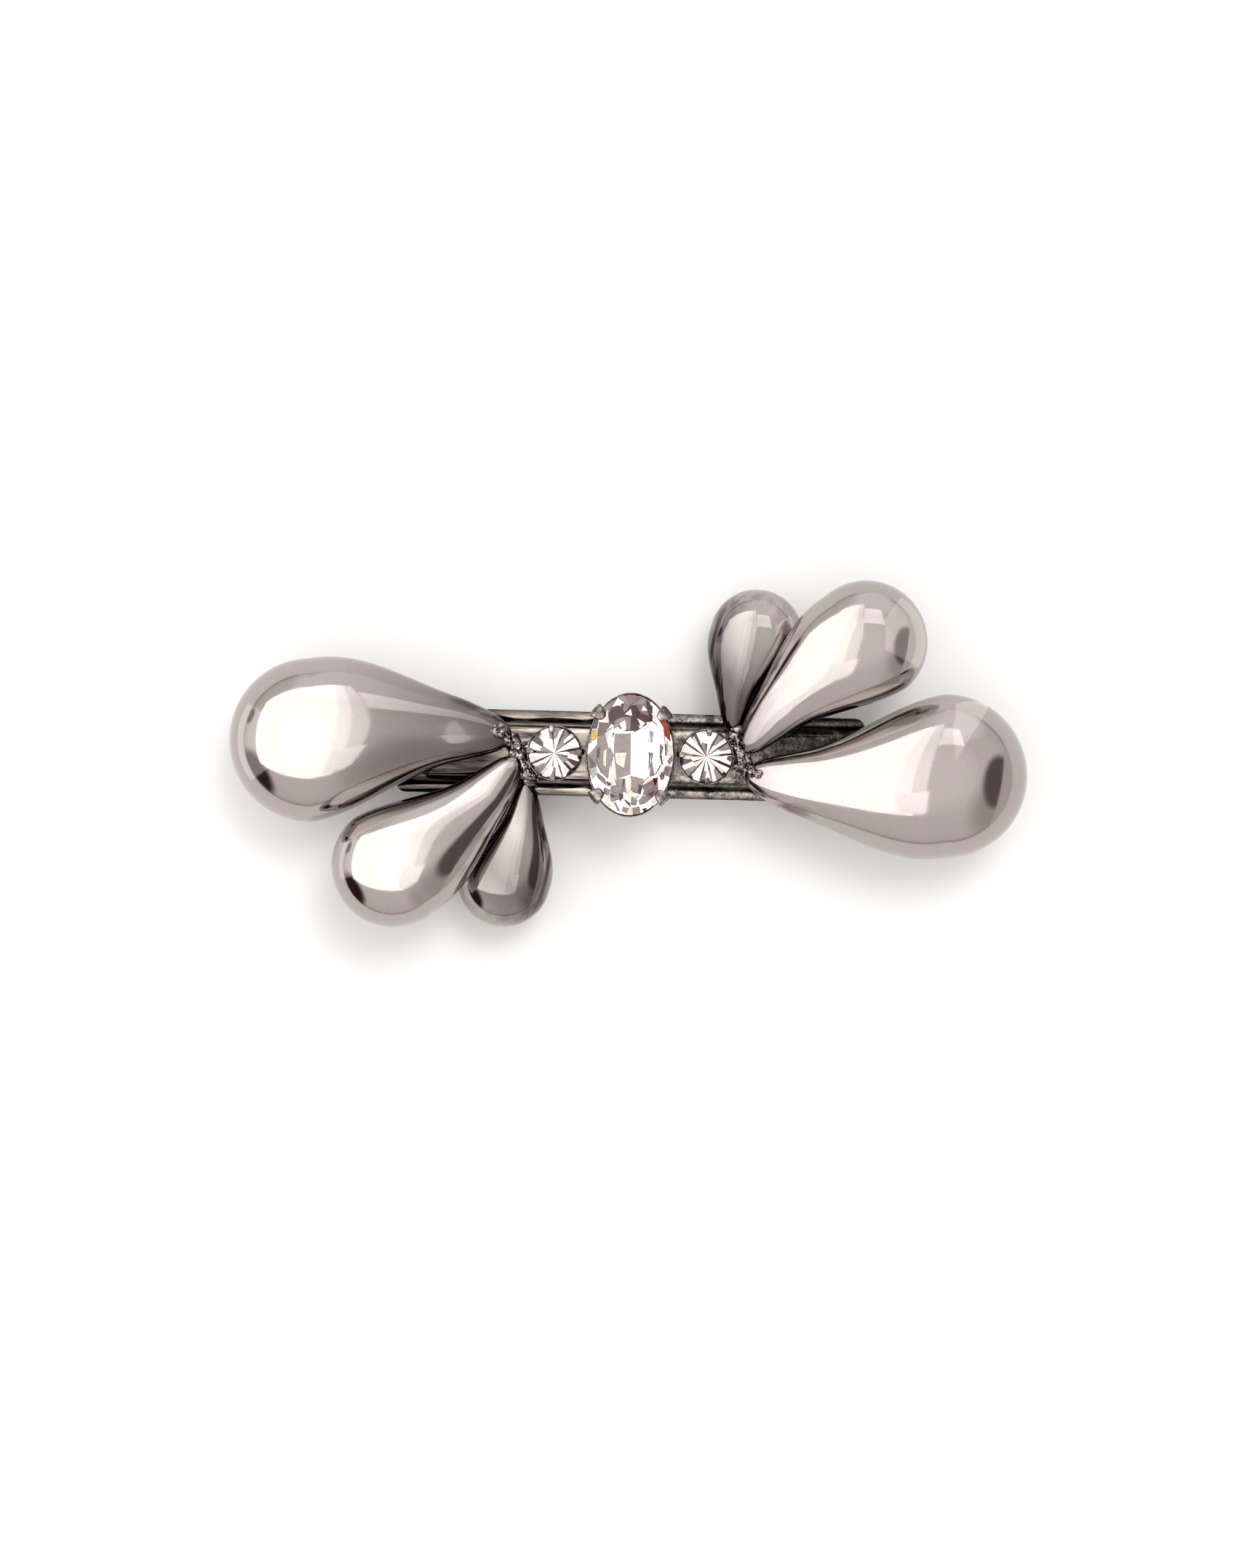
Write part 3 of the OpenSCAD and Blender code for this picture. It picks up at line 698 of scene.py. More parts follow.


# Painted reflection tone and outline of each facet seen through the oval's face
OVAL_FACETS = [
    ("taupe", [(-2.3, 3.0), (0, 3.1), (0.1, -2.8), (-1.9, -3.6), (-2.4, 0)]),
    ("white", [(0, 3.1), (2.2, 3.8), (2.7, 1.0), (2.6, -3.0), (2.0, -3.3), (0.1, -2.8)]),
    ("white", [(2.2, 3.8), (4.6, 3.8), (4.9, 0), (3.4, -2.7), (2.7, -0.2), (2.7, 1.0)]),
    ("taupe", [(2.7, -0.2), (3.4, -2.7), (2.6, -3.0)]),
    ("white", [(-3.6, 3.0), (-2.4, 3.8), (-2.4, 0), (-2.9, 1.0)]),
    ("taupe", [(-4.6, 2.2), (-3.6, 3.0), (-2.9, 1.0), (-2.4, 0), (-2.9, -3.4), (-3.8, -2.6), (-4.6, -1.2)]),
    ("taupe", [(-5.9, 0), (-4.7, 1.35), (-4.7, -1.65)]),
    ("white", [(-5.9, 0), (-5.6, 1.7), (-4.7, 2.2), (-4.7, 1.35)]),
    ("white", [(-5.9, -0.2), (-4.7, -1.65), (-4.6, -2.8), (-5.4, -3.8)]),
    ("gold", [(-5.7, 3.5), (-4.8, 3.5), (-4.7, 2.2), (-5.6, 1.6)]),
    ("smoke", [(-5.6, 3.6), (-5.3, 5.4), (-4.6, 4.9), (-4.8, 3.6)]),
    ("cream", [(-4.5, 6.3), (-3.6, 5.9), (-4.4, 4.8)]),
    ("taupe", [(-3.6, 5.9), (-3.2, 7.2), (-4.4, 6.5)]),
    ("mauve", [(-4.6, 4.6), (-2.6, 4.4), (-3.6, 3.0), (-4.6, 2.4)]),
    ("mauve", [(-1.1, 8.5), (1.3, 8.5), (-0.1, 7.1)]),
    ("taupe", [(-2.1, 8.3), (-1.1, 8.6), (-0.2, 7.1), (-1.1, 7.4)]),
    ("white", [(-2.7, 6.8), (-2.0, 8.2), (-1.1, 7.4)]),
    ("mauve", [(-1.3, 6.5), (-0.9, 7.6), (-0.2, 7.1), (-0.9, 5.9)]),
    ("wine", [(-3.0, 6.6), (-1.2, 7.2), (-1.2, 6.3), (-0.4, 5.6), (-3.0, 4.5)]),
    ("wine", [(-0.3, 6.5), (0.8, 5.9), (0.9, 5.2), (-0.3, 5.3)]),
    ("mauve", [(0.5, 7.3), (2.0, 7.2), (2.5, 5.4), (1.2, 6.0)]),
    ("taupe", [(0.0, 7.1), (1.6, 8.3), (2.1, 8.0), (1.4, 7.2)]),
    ("wine", [(2.0, 8.0), (3.0, 7.0), (2.9, 6.0), (2.3, 5.9)]),
    ("wine", [(1.3, 5.8), (2.7, 5.6), (2.5, 4.7), (1.4, 4.8)]),
    ("wine", [(0, 5.3), (0.7, 5.3), (1.2, 3.8), (0.6, 3.3), (0, 3.7)]),
    ("mauve", [(-0.9, 5.3), (-0.1, 5.3), (-0.1, 3.3), (-1.1, 4.3)]),
    ("taupe", [(-2.3, 4.6), (-1.5, 5.3), (-0.9, 5.2), (-1.1, 4.3), (-2.3, 3.5)]),
    ("white", [(0.8, 5.1), (1.9, 4.5), (1.3, 3.8)]),
    ("white", [(2.0, 4.6), (2.9, 4.8), (4.6, 3.8), (4.6, 2.2), (2.6, 3.6)]),
    ("cream", [(2.8, 6.0), (3.7, 6.5), (3.3, 5.0)]),
    ("rust", [(3.5, 5.7), (4.3, 5.6), (5.3, 4.6), (5.5, 3.9), (4.7, 3.8)]),
    ("rust", [(4.7, 3.8), (5.5, 3.9), (5.7, 2.0), (4.7, 2.9)]),
    ("violet", [(2.4, 3.5), (3.0, 3.3), (2.9, 1.4), (2.6, 1.6)]),
    ("taupe", [(4.1, 1.7), (4.6, 1.2), (4.3, 0.1), (3.7, 0.3)]),
    ("cream", [(4.8, 2.0), (5.9, 0.7), (5.2, 2.2)]),
    ("taupe", [(5.2, -0.7), (6.0, 0.2), (6.1, -0.6), (5.6, -1.3)]),
    ("mauve", [(4.1, -2.8), (4.5, -2.2), (4.8, -3.1), (4.4, -3.5)]),
    ("taupe", [(-1.9, -3.6), (-0.7, -3.4), (-0.4, -5.2), (-1.3, -4.8)]),
    ("taupe", [(0.2, -3.0), (1.9, -3.4), (1.5, -5.4), (0.2, -4.9)]),
    ("smoke", [(1.3, -3.3), (1.9, -3.4), (1.5, -5.4), (1.1, -5.1)]),
    ("taupe", [(2.1, -4.6), (3.4, -3.5), (3.6, -4.3), (1.8, -5.6)]),
    ("taupe", [(1.3, -6.4), (2.0, -5.5), (2.8, -6.6), (1.4, -7.0)]),
    ("cream", [(0.3, -5.0), (1.2, -5.7), (0.7, -6.4)]),
    ("cream", [(3.1, -7.4), (4.4, -6.8), (3.3, -6.1)]),
    ("mauve", [(-4.6, -2.6), (-3.4, -3.4), (-3.1, -4.4), (-4.4, -3.4)]),
    ("smoke", [(-3.2, -3.7), (-2.4, -4.1), (-2.9, -4.5)]),
    ("wine", [(-2.6, -5.5), (-1.8, -5.9), (-2.5, -6.2)]),
    ("smoke", [(-0.7, -6.2), (0.1, -6.8), (0.2, -7.3), (-0.3, -6.9)]),
    ("taupe", [(-2.2, -6.8), (-1.5, -8.2), (-1.3, -8.0), (-1.8, -6.9)]),
    ("wine", [(1.8, -7.7), (2.6, -7.5), (2.3, -8.2)]),
    ("cream", [(-3.9, -4.9), (-3.1, -6.6), (-3.4, -6.8), (-4.3, -5.6)]),
]

# Smaller painted glints and dark reflections that lie over the ones above
OVAL_GLINTS = [
    ("cream", [(-2.2, 0.2), (-0.6, 0.3), (-0.9, -1.9), (-2.0, -1.3)]),
    ("white", [(-2.4, 7.3), (-1.6, 7.9), (-1.5, 6.9)]),
    ("white", [(-0.9, 5.7), (-0.1, 6.5), (0.1, 5.5)]),
    ("white", [(1.6, 7.1), (2.3, 6.4), (1.4, 6.3)]),
    ("white", [(-1.5, 4.4), (-0.8, 4.8), (-0.7, 3.6), (-1.3, 3.4)]),
    ("smoke", [(-4.6, 0.6), (-4.2, 1.0), (-4.3, -0.6), (-4.6, -0.4)]),
    ("cream", [(-3.7, 0.4), (-3.2, 0.8), (-3.3, -1.8), (-3.7, -1.4)]),
    ("wine", [(3.1, -3.2), (3.9, -3.2), (3.5, -4.3)]),
    ("smoke", [(2.5, -5.5), (3.4, -5.0), (3.2, -5.9)]),
    ("taupe", [(-3.4, -4.7), (-2.6, -5.0), (-2.9, -5.9), (-3.6, -5.5)]),
    ("smoke", [(-1.4, -5.4), (-0.8, -5.6), (-1.2, -6.6)]),
    ("taupe", [(0.3, -5.8), (1.1, -6.3), (0.9, -7.1), (0.2, -6.9)]),
    ("taupe", [(-0.9, -7.4), (0.0, -7.6), (-0.3, -8.3), (-1.0, -8.1)]),
    ("wine", [(-1.0, -3.6), (-0.6, -3.5), (-0.9, -4.9)]),
    ("smoke", [(4.0, 0.2), (4.4, 0.0), (4.5, -1.6)]),
    ("taupe", [(4.9, -1.5), (5.5, -1.5), (5.2, -2.9), (4.7, -2.6)]),
    ("smoke", [(2.6, 0.6), (3.0, 0.3), (2.8, -1.4)]),
    ("taupe", [(-2.3, -4.6), (-1.6, -5.2), (-2.2, -5.4)]),
]

# Painted dark reflections that show between the oval's facets
OVAL_DARK_REFLECTIONS = [
    ("wine", [(-3.4, 6.6), (-1.6, 8.1), (1.4, 8.3), (3.1, 7.0), (2.9, 4.7), (0.9, 3.5), (-0.9, 3.4),
              (-3.0, 4.4)]),
    ("taupe", [(-2.6, -4.4), (-0.9, -4.0), (-0.8, -6.2), (-2.5, -6.6)]),
    ("mauve", [(1.6, -4.2), (3.8, -3.0), (4.0, -4.9), (2.6, -6.6)]),
]


def slice_corners(rx, ry, inner, outer, i, count):
    """Corners of slice i of count round an ellipse, between two shares of its half axes."""
    a0, a1 = (2 * math.pi * (i + k) / count for k in (0, 1))
    corners = [(rx * outer * math.cos(a), ry * outer * math.sin(a)) for a in (a0, a1)]
    if not inner:
        return corners + [(0, 0)]
    return corners + [(rx * inner * math.cos(a), ry * inner * math.sin(a)) for a in (a1, a0)]


def oval_backing(rx, ry):
    """Plain foil under the oval's facets, in a fan of slightly different tilts."""
    facets, count = [], 26
    for i in range(count):
        for inner, outer in ((0, 0.42), (0.42, 0.72), (0.72, 1)):
            tone = pick([("white", 7), ("cream", 1)])
            facets.append((tone, slice_corners(rx, ry, inner, outer, i, count)))
    return facets


def oval_rim(rx, ry):
    """Facets along the girdle in painted reflection tones: mostly bright, toned at the top."""
    facets, count = [], 34
    for i in range(count):
        dark = math.sin(2 * math.pi * (i + 0.5) / count) > 0.75
        tone = pick([("mauve", 3), ("taupe", 2), ("white", 1)] if dark else BRIGHT)
        facets.append((tone, slice_corners(rx, ry, 0.87, 1, i, count)))
    return facets


def oval_stone(material, reflection_foils):
    """The oval cut stone over its layers of foil painted with reflections."""
    rx, ry = OVAL_HALF.x - CUP_WALL, OVAL_HALF.y - CUP_WALL
    centre = Vector((0, 0, OVAL_GIRDLE))
    random.seed(SEEDS["oval"])
    body = glass("oval_cut_stone", centre, cut_corners(rx, ry, OVAL_CUT, OVAL_KEEL), material)
    layers = [
        (-0.55, 5, oval_backing(rx * 0.93, ry * 0.93)),
        (-0.3, 3, OVAL_DARK_REFLECTIONS),
        (-0.2, 3, oval_rim(rx * 0.985, ry * 0.985)),
        (-0.12, 4, OVAL_FACETS),
        (0.0, 3, OVAL_GLINTS),
    ]
    bed = reflection_foil_bed("oval_reflection_foil", centre, layers, reflection_foils)
    stands_for(joined("oval_brilliant", [body, bed]), "oval_stone")


# ---------- claw cups ----------
CUP_SIDES = 96
# Half sections of the cups, up the outside and down the inside: (inset from the rim, height)
ROUND_CUP = [
    (1.45, 0.0), (1.3, 0.05), (1.1, 0.5), (0.62, 1.6), (0.2, 2.75), (0.02, 3.05), (0.0, 3.3),
    (0.05, 3.44), (0.13, 3.46), (0.18, 3.38), (0.19, 3.1), (2.1, 0.45), (3.6, 0.3),
]
OVAL_CUP = [
    (2.6, 0.0), (2.4, 0.08), (2.1, 0.7), (1.2, 2.4), (0.3, 4.0), (0.03, 4.3), (0.0, 4.6),
    (0.06, 4.76), (0.13, 4.78), (0.18, 4.7), (0.2, 4.4), (3.4, 0.6), (5.6, 0.35),
]
# Claws from root to tip: (outward, up, half width)
ROUND_CLAW = [
    (-0.35, -1.5, 0.5), (-0.05, -0.9, 0.5), (0.1, -0.3, 0.5), (0.17, 0.2, 0.5), (0.08, 0.58, 0.48),
    (-0.25, 0.78, 0.45), (-0.7, 0.86, 0.4), (-1.02, 0.98, 0.28),
]
ROUND_CLAW_SHEET = 0.3
OVAL_CLAW = [
    (-0.75, -2.1, 0.8), (-0.2, -1.3, 0.95), (0.25, -0.6, 1.1), (0.55, 0.0, 1.2), (0.6, 0.45, 1.22),
    (0.42, 0.95, 1.2), (-0.1, 1.2, 1.05), (-0.7, 1.16, 0.85), (-1.25, 1.2, 0.5),
]
OVAL_CLAW_SHEET = 0.6
# A claw's cross section: (share of its half width, share of its sheet)
CLAW_SECTION = [(1, 0.15), (0.6, 0.5), (-0.6, 0.5), (-1, 0.15), (-0.9, -0.5), (0.9, -0.5)]
# Degrees round each cup; on the oval, where each quarter's claw stands and which way it faces
ROUND_CLAWS_AT = {"left": (4, 98, 176, 268), "right": (-2, 84, 176, 274)}
OVAL_CLAW_AT, OVAL_CLAW_FACING = math.radians(42), math.radians(40)


def cup(name, base, rx, ry, profile, material):
    """A lathed cup; the inset from the rim keeps its wall even on an oval."""
    verts, faces = [], []
    for inset, z in profile:
        verts += [tuple(Vector(p) + base) for p in ring(rx - inset, ry - inset, z, CUP_SIDES)]
    for k in range(len(profile) - 1):
        here, above = k * CUP_SIDES, (k + 1) * CUP_SIDES
        for i in range(CUP_SIDES):
            j = (i + 1) % CUP_SIDES
            faces.append((here + i, here + j, above + j, above + i))
    faces.append(tuple(range(CUP_SIDES - 1, -1, -1)))
    faces.append(tuple((len(profile) - 1) * CUP_SIDES + i for i in range(CUP_SIDES)))
    return make_object(name, verts, faces, [material], smooth_angle=40)


def claw(name, path, sheet, base, heading, material):
    """A bent strip of sheet that starts at base and faces heading."""
    out = Vector((math.cos(heading), math.sin(heading), 0))
    along = Vector((-out.y, out.x, 0))
    up = Vector((0, 0, 1))
    bm = bmesh.new()
    rings = []
    for i, (r, z, half) in enumerate(path):
        r0, z0 = path[max(0, i - 1)][:2]
        r1, z1 = path[min(len(path) - 1, i + 1)][:2]
        run = Vector((r1 - r0, z1 - z0)).normalized()
        normal = out * run.y - up * run.x
        centre = base + out * r + up * z
        corners = [centre + along * half * across + normal * sheet * lift for across, lift in CLAW_SECTION]
        rings.append([bm.verts.new(c * MM) for c in corners])
    for a, b in zip(rings, rings[1:]):
        for i in range(len(CLAW_SECTION)):
            j = (i + 1) % len(CLAW_SECTION)
            bm.faces.new((a[i], a[j], b[j], b[i]))
    bm.faces.new(rings[0])
    bm.faces.new(rings[-1][::-1])
    obj = from_bmesh(name, bm, material, smooth_angle=80)
    rounding = obj.modifiers.new("smooth", "SUBSURF")
    rounding.levels = rounding.render_levels = 2
    return applied(obj)


def round_setting(side, material):
    """A round claw cup with four claws."""
    base = Vector((ROUND_X[side], 0, RIB_TOP))
    parts = [cup(f"{side}_cup", base, ROUND_R, ROUND_R, ROUND_CUP, material)]
    for i, degrees in enumerate(ROUND_CLAWS_AT[side]):
        a = math.radians(degrees)
        at = base + Vector((*spoke(a, ROUND_R), ROUND_GIRDLE - RIB_TOP))
        parts.append(claw(f"claw_{i}", ROUND_CLAW, ROUND_CLAW_SHEET, at, a, material))
    stands_for(joined(f"{side}_claw_cup", parts), f"{side}_setting")


def oval_setting(material):
    """The oval claw cup with a claw in each quarter."""
    rx, ry = OVAL_HALF
    base = Vector((0, 0, RIB_TOP))
    parts = [cup("oval_cup", base, rx, ry, OVAL_CUP, material)]
    x, y = rx * math.cos(OVAL_CLAW_AT), ry * math.sin(OVAL_CLAW_AT)
    for sx in (-1, 1):
        for sy in (-1, 1):
            at = base + Vector((sx * x, sy * y, OVAL_GIRDLE - RIB_TOP))
            heading = math.atan2(sy * math.sin(OVAL_CLAW_FACING), sx * math.cos(OVAL_CLAW_FACING))
            parts.append(claw(f"claw_{sx}_{sy}", OVAL_CLAW, OVAL_CLAW_SHEET, at, heading, material))
    stands_for(joined("oval_claw_cup", parts), "oval_setting")


# ---------- bar ----------
BAR_CORNER = 1.6
BAR_STEPS_X, BAR_STEPS_Y = 260, 34
# Where the rib's long sides and its ends slope down, from and to, measured from the middle
RIB_SIDE = (3.3, 4.15)
RIB_END = (28.9, 29.8)
# The rib's slight crown, the bead along each flange and the line where the underside turns flat
CROWN, CROWN_HALF, CROWN_SIDE = 0.07, 3.6, (3.0, 3.6)
BEAD_AT, BEAD_HALF, BEAD_RISE = 5.4, 0.75, 0.3
UNDER_SIDE = (4.3, 4.6)
EAR_AT, EAR_RADIUS, EAR_SHEET, EAR_BORE, EAR_SIDES = 5.1, 2.0, 0.8, 0.8, 48
EAR_ROOT = FLANGE_TOP - BAR_SHEET + 0.25
EAR_FLARE = 1.25


def smooth_step(x, start, stop):
    """0 before start, 1 past stop, and an even slope between."""
    t = min(1.0, max(0.0, (x - start) / (stop - start)))
    return t * t * (3 - 2 * t)


def bar_height(x, y):
    """Top of the stamped bar above its flange."""
    ax, ay = abs(x), abs(y)
    rib = (1 - smooth_step(ay, *RIB_SIDE)) * (1 - smooth_step(ax, *RIB_END))
    crown = CROWN * (1 - (ay / CROWN_HALF) ** 2) * (1 - smooth_step(ay, *CROWN_SIDE))
    bead = BEAD_RISE * math.sqrt(max(0.0, 1 - ((ay - BEAD_AT) / BEAD_HALF) ** 2))
    return (RIB_RISE - CROWN + crown) * rib + bead


def bar(material):
    """The stamped bar: a plate that follows its own relief underneath, and two ears for the pin."""
    half_x, half_y = BAR_HALF
    xs = [-half_x + 2 * half_x * i / BAR_STEPS_X for i in range(BAR_STEPS_X + 1)]
    ts = [math.sin(math.pi / 2 * k / BAR_STEPS_Y) for k in range(-BAR_STEPS_Y, BAR_STEPS_Y + 1)]
    verts, faces = [], []
    for under in (False, True):
        for x in xs:
            past = max(0.0, abs(x) - (half_x - BAR_CORNER))
            reach = half_y - BAR_CORNER + math.sqrt(max(0.0, BAR_CORNER ** 2 - past ** 2))
            for t in ts:
                y = t * reach
                lift = bar_height(x, y)
                if under:
                    lift = lift * (1 - smooth_step(abs(y), *UNDER_SIDE)) - BAR_SHEET
                verts.append((x, y, FLANGE_TOP + lift))
    nx, ny = len(xs), len(ts)
    base = nx * ny
    for i in range(nx - 1):
        for j in range(ny - 1):
            cell = quad(i, j, ny)
            faces += [cell, tuple(base + v for v in cell[::-1])]
    rim = [i * ny for i in range(nx)] + [(nx - 1) * ny + j for j in range(1, ny)]
    rim += [i * ny + ny - 1 for i in range(nx - 2, -1, -1)] + [j for j in range(ny - 2, 0, -1)]
    for a, b in zip(rim, rim[1:] + rim[:1]):
        faces.append((b, a, base + a, base + b))
    plate = make_object("bar_plate", verts, faces, [material], smooth_angle=40)
    bevel(plate, 0.12, 50)
    parts = [applied(plate), ear(-EAR_AT, material), ear(EAR_AT, material)]
    stands_for(joined("stamped_bar", parts), "bar")


def ear(y, material):
    """A lug in the plane y = constant, round at its free end, with the pin's hole in it."""
    outer, hole = [], []
    for i in range(EAR_SIDES + 1):
        a = math.pi + math.pi * i / EAR_SIDES
        outer.append((PIN.x + EAR_RADIUS * math.cos(a), PIN.z + EAR_RADIUS * math.sin(a)))
    outer += [(PIN.x + EAR_RADIUS * EAR_FLARE, EAR_ROOT), (PIN.x - EAR_RADIUS * EAR_FLARE, EAR_ROOT)]
    for i in range(EAR_SIDES):
        a = 2 * math.pi * i / EAR_SIDES
        hole.append((PIN.x + EAR_BORE * math.cos(a), PIN.z + EAR_BORE * math.sin(a)))
    bm = bmesh.new()
    edges = []
    for loop in (outer, hole):
        verts = [bm.verts.new(Vector((x, y - EAR_SHEET / 2, z)) * MM) for x, z in loop]
        edges += [bm.edges.new((verts[i], verts[(i + 1) % len(verts)])) for i in range(len(verts))]
    bmesh.ops.triangle_fill(bm, use_beauty=True, use_dissolve=False, edges=edges)
    solid = bmesh.ops.extrude_face_region(bm, geom=bm.faces[:])
    moved = [v for v in solid["geom"] if isinstance(v, bmesh.types.BMVert)]
    bmesh.ops.translate(bm, verts=moved, vec=Vector((0, EAR_SHEET, 0)) * MM)
    obj = from_bmesh("bar_ear", bm, material, smooth_angle=40)
    bevel(obj, 0.1, 50)
    return applied(obj)


# ---------- solder ----------
# Beads of each seam: (x, y, z, radius)
SOLDER = {
    "left": [
        (-17.3, 1.5, 10.6, 1.35), (-16.5, 0.4, 11.2, 1.35), (-15.9, -0.7, 11.4, 1.3),
        (-15.4, -1.9, 11.1, 1.3), (-15.0, -3.0, 10.9, 1.3), (-14.4, -4.0, 10.4, 1.1),
        (-14.9, 0.7, 10.9, 0.95), (-16.8, -2.2, 10.4, 1.0), (-14.3, -2.6, 10.6, 0.9),
        (-19.5, 2.9, 13.4, 0.8), (-18.7, 2.5, 13.2, 0.75), (-19.0, 3.5, 13.0, 0.7),
        (-18.0, 1.9, 12.2, 0.9),
    ],
    "right": [
        (16.9, -1.7, 10.6, 1.35), (16.4, -0.6, 11.2, 1.35), (16.0, 0.5, 11.4, 1.3),
        (15.4, 1.7, 11.1, 1.3), (15.0, 2.8, 10.8, 1.25), (14.8, -0.8, 10.9, 0.95),
        (16.9, 1.8, 10.4, 1.0), (14.3, 1.9, 10.6, 0.85), (17.6, -2.0, 12.8, 0.95),
        (18.5, -2.3, 13.4, 0.7), (16.6, 2.3, 12.2, 0.9), (15.4, 3.9, 11.2, 0.95),
    ],
}
SOLDER_VOXEL = 0.13
FOLD_HEIGHT, CREASE_DEPTH = 0.35, 0.3


def solder(side, material):
    """Run-together beads, folded by noise, flat where they sit on the rib."""
    bm = bmesh.new()
    for x, y, z, r in SOLDER[side]:
        where = Matrix.Translation(Vector((x, y, z)) * MM)
        bmesh.ops.create_icosphere(bm, subdivisions=3, radius=r * MM, matrix=where)
    obj = from_bmesh(f"{side}_solder_seam", bm, material, smooth_angle=180)
    remesh = obj.modifiers.new("blend", "REMESH")
    remesh.mode = "VOXEL"
    remesh.voxel_size = SOLDER_VOXEL * MM
    relax = obj.modifiers.new("relax", "SMOOTH")
    relax.iterations = 6
    relax.factor = 0.5
    applied(obj)
    for v in obj.data.vertices:
        p = v.co / MM
        fold = noise.noise(Vector((p.x * 1.1, p.y * 1.1, p.z * 0.6)) + Vector((7, 3, 1)))
        crease = 1 - min(1, 3.5 * abs(noise.noise(p * 0.9 + Vector((2, 9, 4)))))
        p += v.normal * (FOLD_HEIGHT * fold - CREASE_DEPTH * crease)
        p.z = max(p.z, RIB_TOP + 0.02)
        v.co = p * MM
    obj.data.shade_smooth()
    stands_for(obj, f"{side}_solder")


# ---------- the clip under the bar ----------
# Width of the broken edges of each CAD node that keeps its shape
EDGES = {
    "hinge_pin": 0.12, "lever": 0.2, "clasp_base": 0.08, "clasp_rivet": 0.15,
    "clasp_wing_front": 0.1, "clasp_wing_back": 0.1, "tension_spring": 0.08,
}


def finish_clip_parts():
    """Broken edges and their own metal for the CAD nodes that keep their shape."""
    nickel = pressed_steel("nickel_plate", (0.52, 0.49, 0.46))
    spring = pressed_steel("spring_steel", (0.44, 0.42, 0.41), (0.05, 1, 1))
    for name, width in EDGES.items():
        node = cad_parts[name]
        node.data.materials.clear()
        node.data.materials.append(spring if name == "tension_spring" else nickel)
        merge = node.modifiers.new("merge", "WELD")
        merge.merge_threshold = 0.001 * MM
        bevel(node, width, 40)


# ---------- light, floor and camera ----------
FLOOR_HALF, FLOOR_STEPS, FLOOR_Z = 3000, 24, -0.02
PANEL_Z = 122
# The camera looks straight down, and sees VIEW_HEIGHT from top to bottom at the seams' height
VIEW_CENTRE = (-0.3, -4.2)
VIEW_TURN = 1.5
VIEW_HEIGHT = 226.9
CAMERA_AT = 900.0
SEAM_Z = 11.6
SENSOR = 36


def floor():
    """A level sheet of paper, just under the clip."""
    n = FLOOR_STEPS + 1
    span = [-FLOOR_HALF + 2 * FLOOR_HALF * i / FLOOR_STEPS for i in range(n)]
    verts = [(x, y, FLOOR_Z) for x in span for y in span]
    faces = [quad(i, j, n) for i in range(FLOOR_STEPS) for j in range(FLOOR_STEPS)]
    make_object("floor", verts, faces, [paper()])


def glowing_panel(name, centre, size, turn, glow):
    """An even, unseen sheet of light that only mirrors show."""
    size = Vector(size) * MM
    light = bpy.data.lights.new(name, "AREA")
    light.shape = "RECTANGLE"
    light.size, light.size_y = size
    light.energy = glow * math.pi * size.x * size.y
    obj = linked(name, light)
    obj.location = Vector(centre) * MM
    obj.rotation_euler = [math.radians(angle) for angle in turn]
    obj.visible_camera = obj.visible_diffuse = obj.visible_transmission = False


def softbox(name, left, right, front, rear, glow, tilt=0.0):
    """A level panel over the clip, given by its edges and turned by tilt degrees."""
    centre = ((left + right) / 2, (front + rear) / 2, PANEL_Z)
    glowing_panel(name, centre, (right - left, rear - front), (0, 0, tilt), glow)


def card(name, x, front, rear, bottom, top, glow):
    """An upright panel beside the clip, facing it."""
    centre = (x, (front + rear) / 2, (bottom + top) / 2)
    glowing_panel(name, centre, (top - bottom, rear - front), (0, 90 if x > 0 else -90, 0), glow)


class Sky(Tree):
    """The room round the clip, mixed from soft patches of brightness by direction."""

    def __init__(self):
        world = bpy.data.worlds.new("studio")
        bpy.context.scene.world = world
        world.use_nodes = True
        super().__init__(world.node_tree)
        self.place = self.nodes.new("ShaderNodeTexCoord").outputs["Generated"]
        self.color = None

    def climb(self, *stops):
        """Colours by height, from the horizon (0) to the zenith (1)."""
        self.color = self.ramp(self.axes(self.place)["Z"], *stops)

    def patch(self, azimuth, elevation, core, edge, color):
        """A patch that is solid within core degrees of its middle and gone at edge degrees."""
        closeness = self.vector_math("DOT_PRODUCT", self.place, direction(azimuth, elevation))["Value"]
        gone, solid = math.cos(math.radians(edge)), math.cos(math.radians(core))
        near = self.share(closeness, gone, solid, "SMOOTHSTEP")
        self.color = self.mixed(near, self.color, color)

    def finish(self, strength):
        """Light the world with the mix."""
        background = self.nodes["Background"]
        self.links.new(self.color, background.inputs["Color"])
        background.inputs["Strength"].default_value = strength


def shadow_sun(azimuth, elevation, strength, spread):
    """Soft daylight that falls on rough surfaces only, so the plating doesn't mirror it."""
    light = bpy.data.lights.new("daylight", "SUN")
    light.energy = strength
    light.angle = math.radians(spread)
    obj = linked("daylight", light)
    obj.rotation_euler = direction(azimuth, elevation).to_track_quat("Z", "Y").to_euler()
    obj.visible_glossy = obj.visible_transmission = False


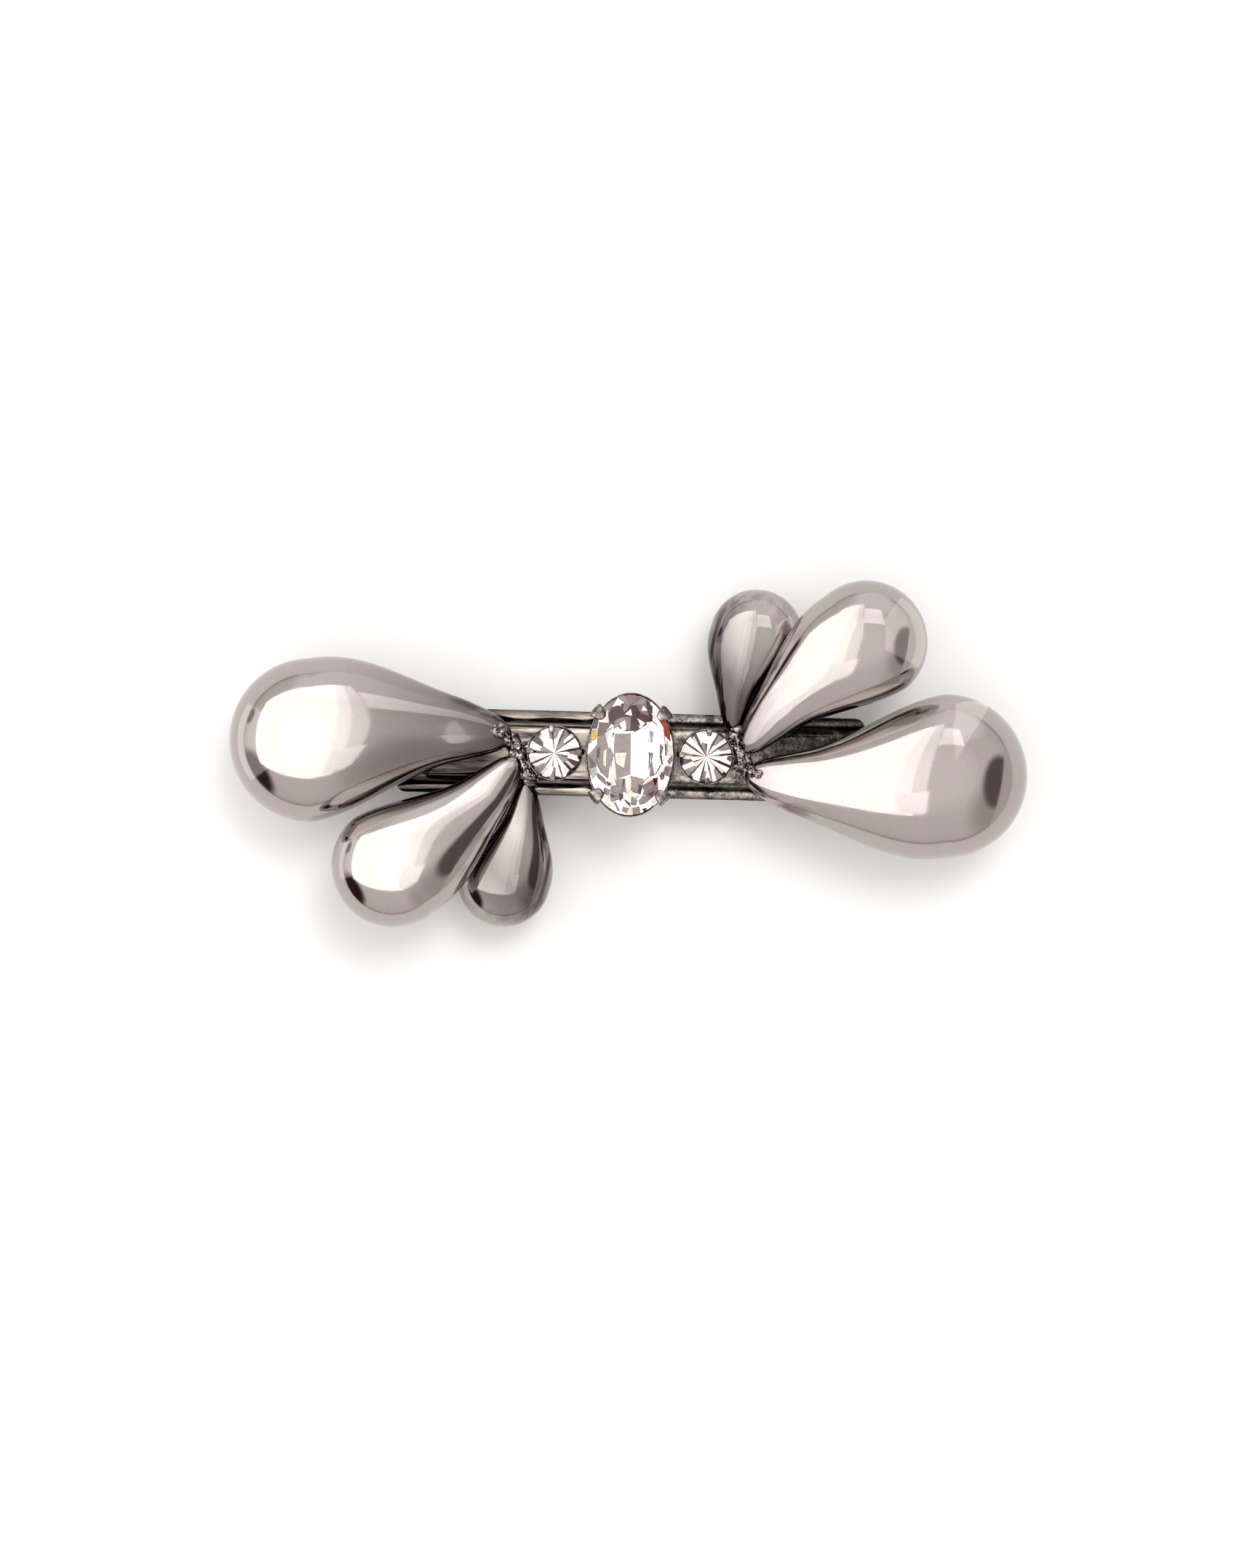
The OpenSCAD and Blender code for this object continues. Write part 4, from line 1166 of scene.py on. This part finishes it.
def studio():
    """The light: a pale sky with darker patches, panels and cards to mirror, and daylight."""
    sky = Sky()
    sky.climb(
        (0.0, (0.4, 0.37, 0.36)), (0.1, (0.72, 0.69, 0.675)), (0.35, (0.8, 0.775, 0.76)),
        (0.75, (0.82, 0.8, 0.78)), (0.92, (0.98, 0.96, 0.93)), (1.0, (1.0, 0.98, 0.95)),
    )
    sky.patch(-28, 18, 10, 42, (0.5, 0.47, 0.455))
    sky.patch(-5, 23, 21, 29, (0.14, 0.12, 0.115))
    sky.patch(-8, -22, 42, 45, (0.64, 0.6, 0.58))
    sky.patch(212, 5, 17, 27, (0.035, 0.014, 0.013))
    sky.patch(160, 4, 5, 9, (0.05, 0.025, 0.024))
    sky.patch(80, 20, 16, 34, (1.0, 1.0, 1.0))
    sky.finish(1.35)
    softbox("panel_left", -290, -18, -104, 205, 1.7, tilt=2)
    softbox("panel_band", -290, 30, -92, -34, 1.2, tilt=2)
    softbox("panel_step", -18, 2, -100, 205, 1.4, tilt=2)
    softbox("panel_soft", 2, 22, -96, 205, 0.8, tilt=2)
    softbox("panel_rear", 22, 90, 72, 152, 0.9)
    card("card_left", -100, -36, 30, -10, 60, 0.45)
    card("card_right", 52, 9, 42, 4, 50, 0.35)
    shadow_sun(62, 62, 0.85, 24)


def camera():
    """The photo's view: straight above the clip, turned a little."""
    data = bpy.data.cameras.new("camera")
    data.sensor_width = SENSOR
    data.lens = SENSOR * (CAMERA_AT - SEAM_Z) / VIEW_HEIGHT
    obj = linked("camera", data)
    obj.location = Vector((*VIEW_CENTRE, CAMERA_AT)) * MM
    obj.rotation_euler = (0, 0, math.radians(VIEW_TURN))
    bpy.context.scene.camera = obj
    bpy.context.scene.view_settings.view_transform = "Standard"


def build():
    camera()
    floor()
    studio()
    petals()
    clear = crystal()
    reflection_foils = {name: reflection_foil(name, color) for name, color in PAINTED_REFLECTION_TONES.items()}
    cup_metal = dark_nickel()
    oval_stone(clear, reflection_foils)
    oval_setting(cup_metal)
    solder_metal = bright_solder()
    for side in ("left", "right"):
        round_stone(side, clear, reflection_foils)
        round_setting(side, cup_metal)
        solder(side, solder_metal)
    bar(gunmetal())
    finish_clip_parts()


build()
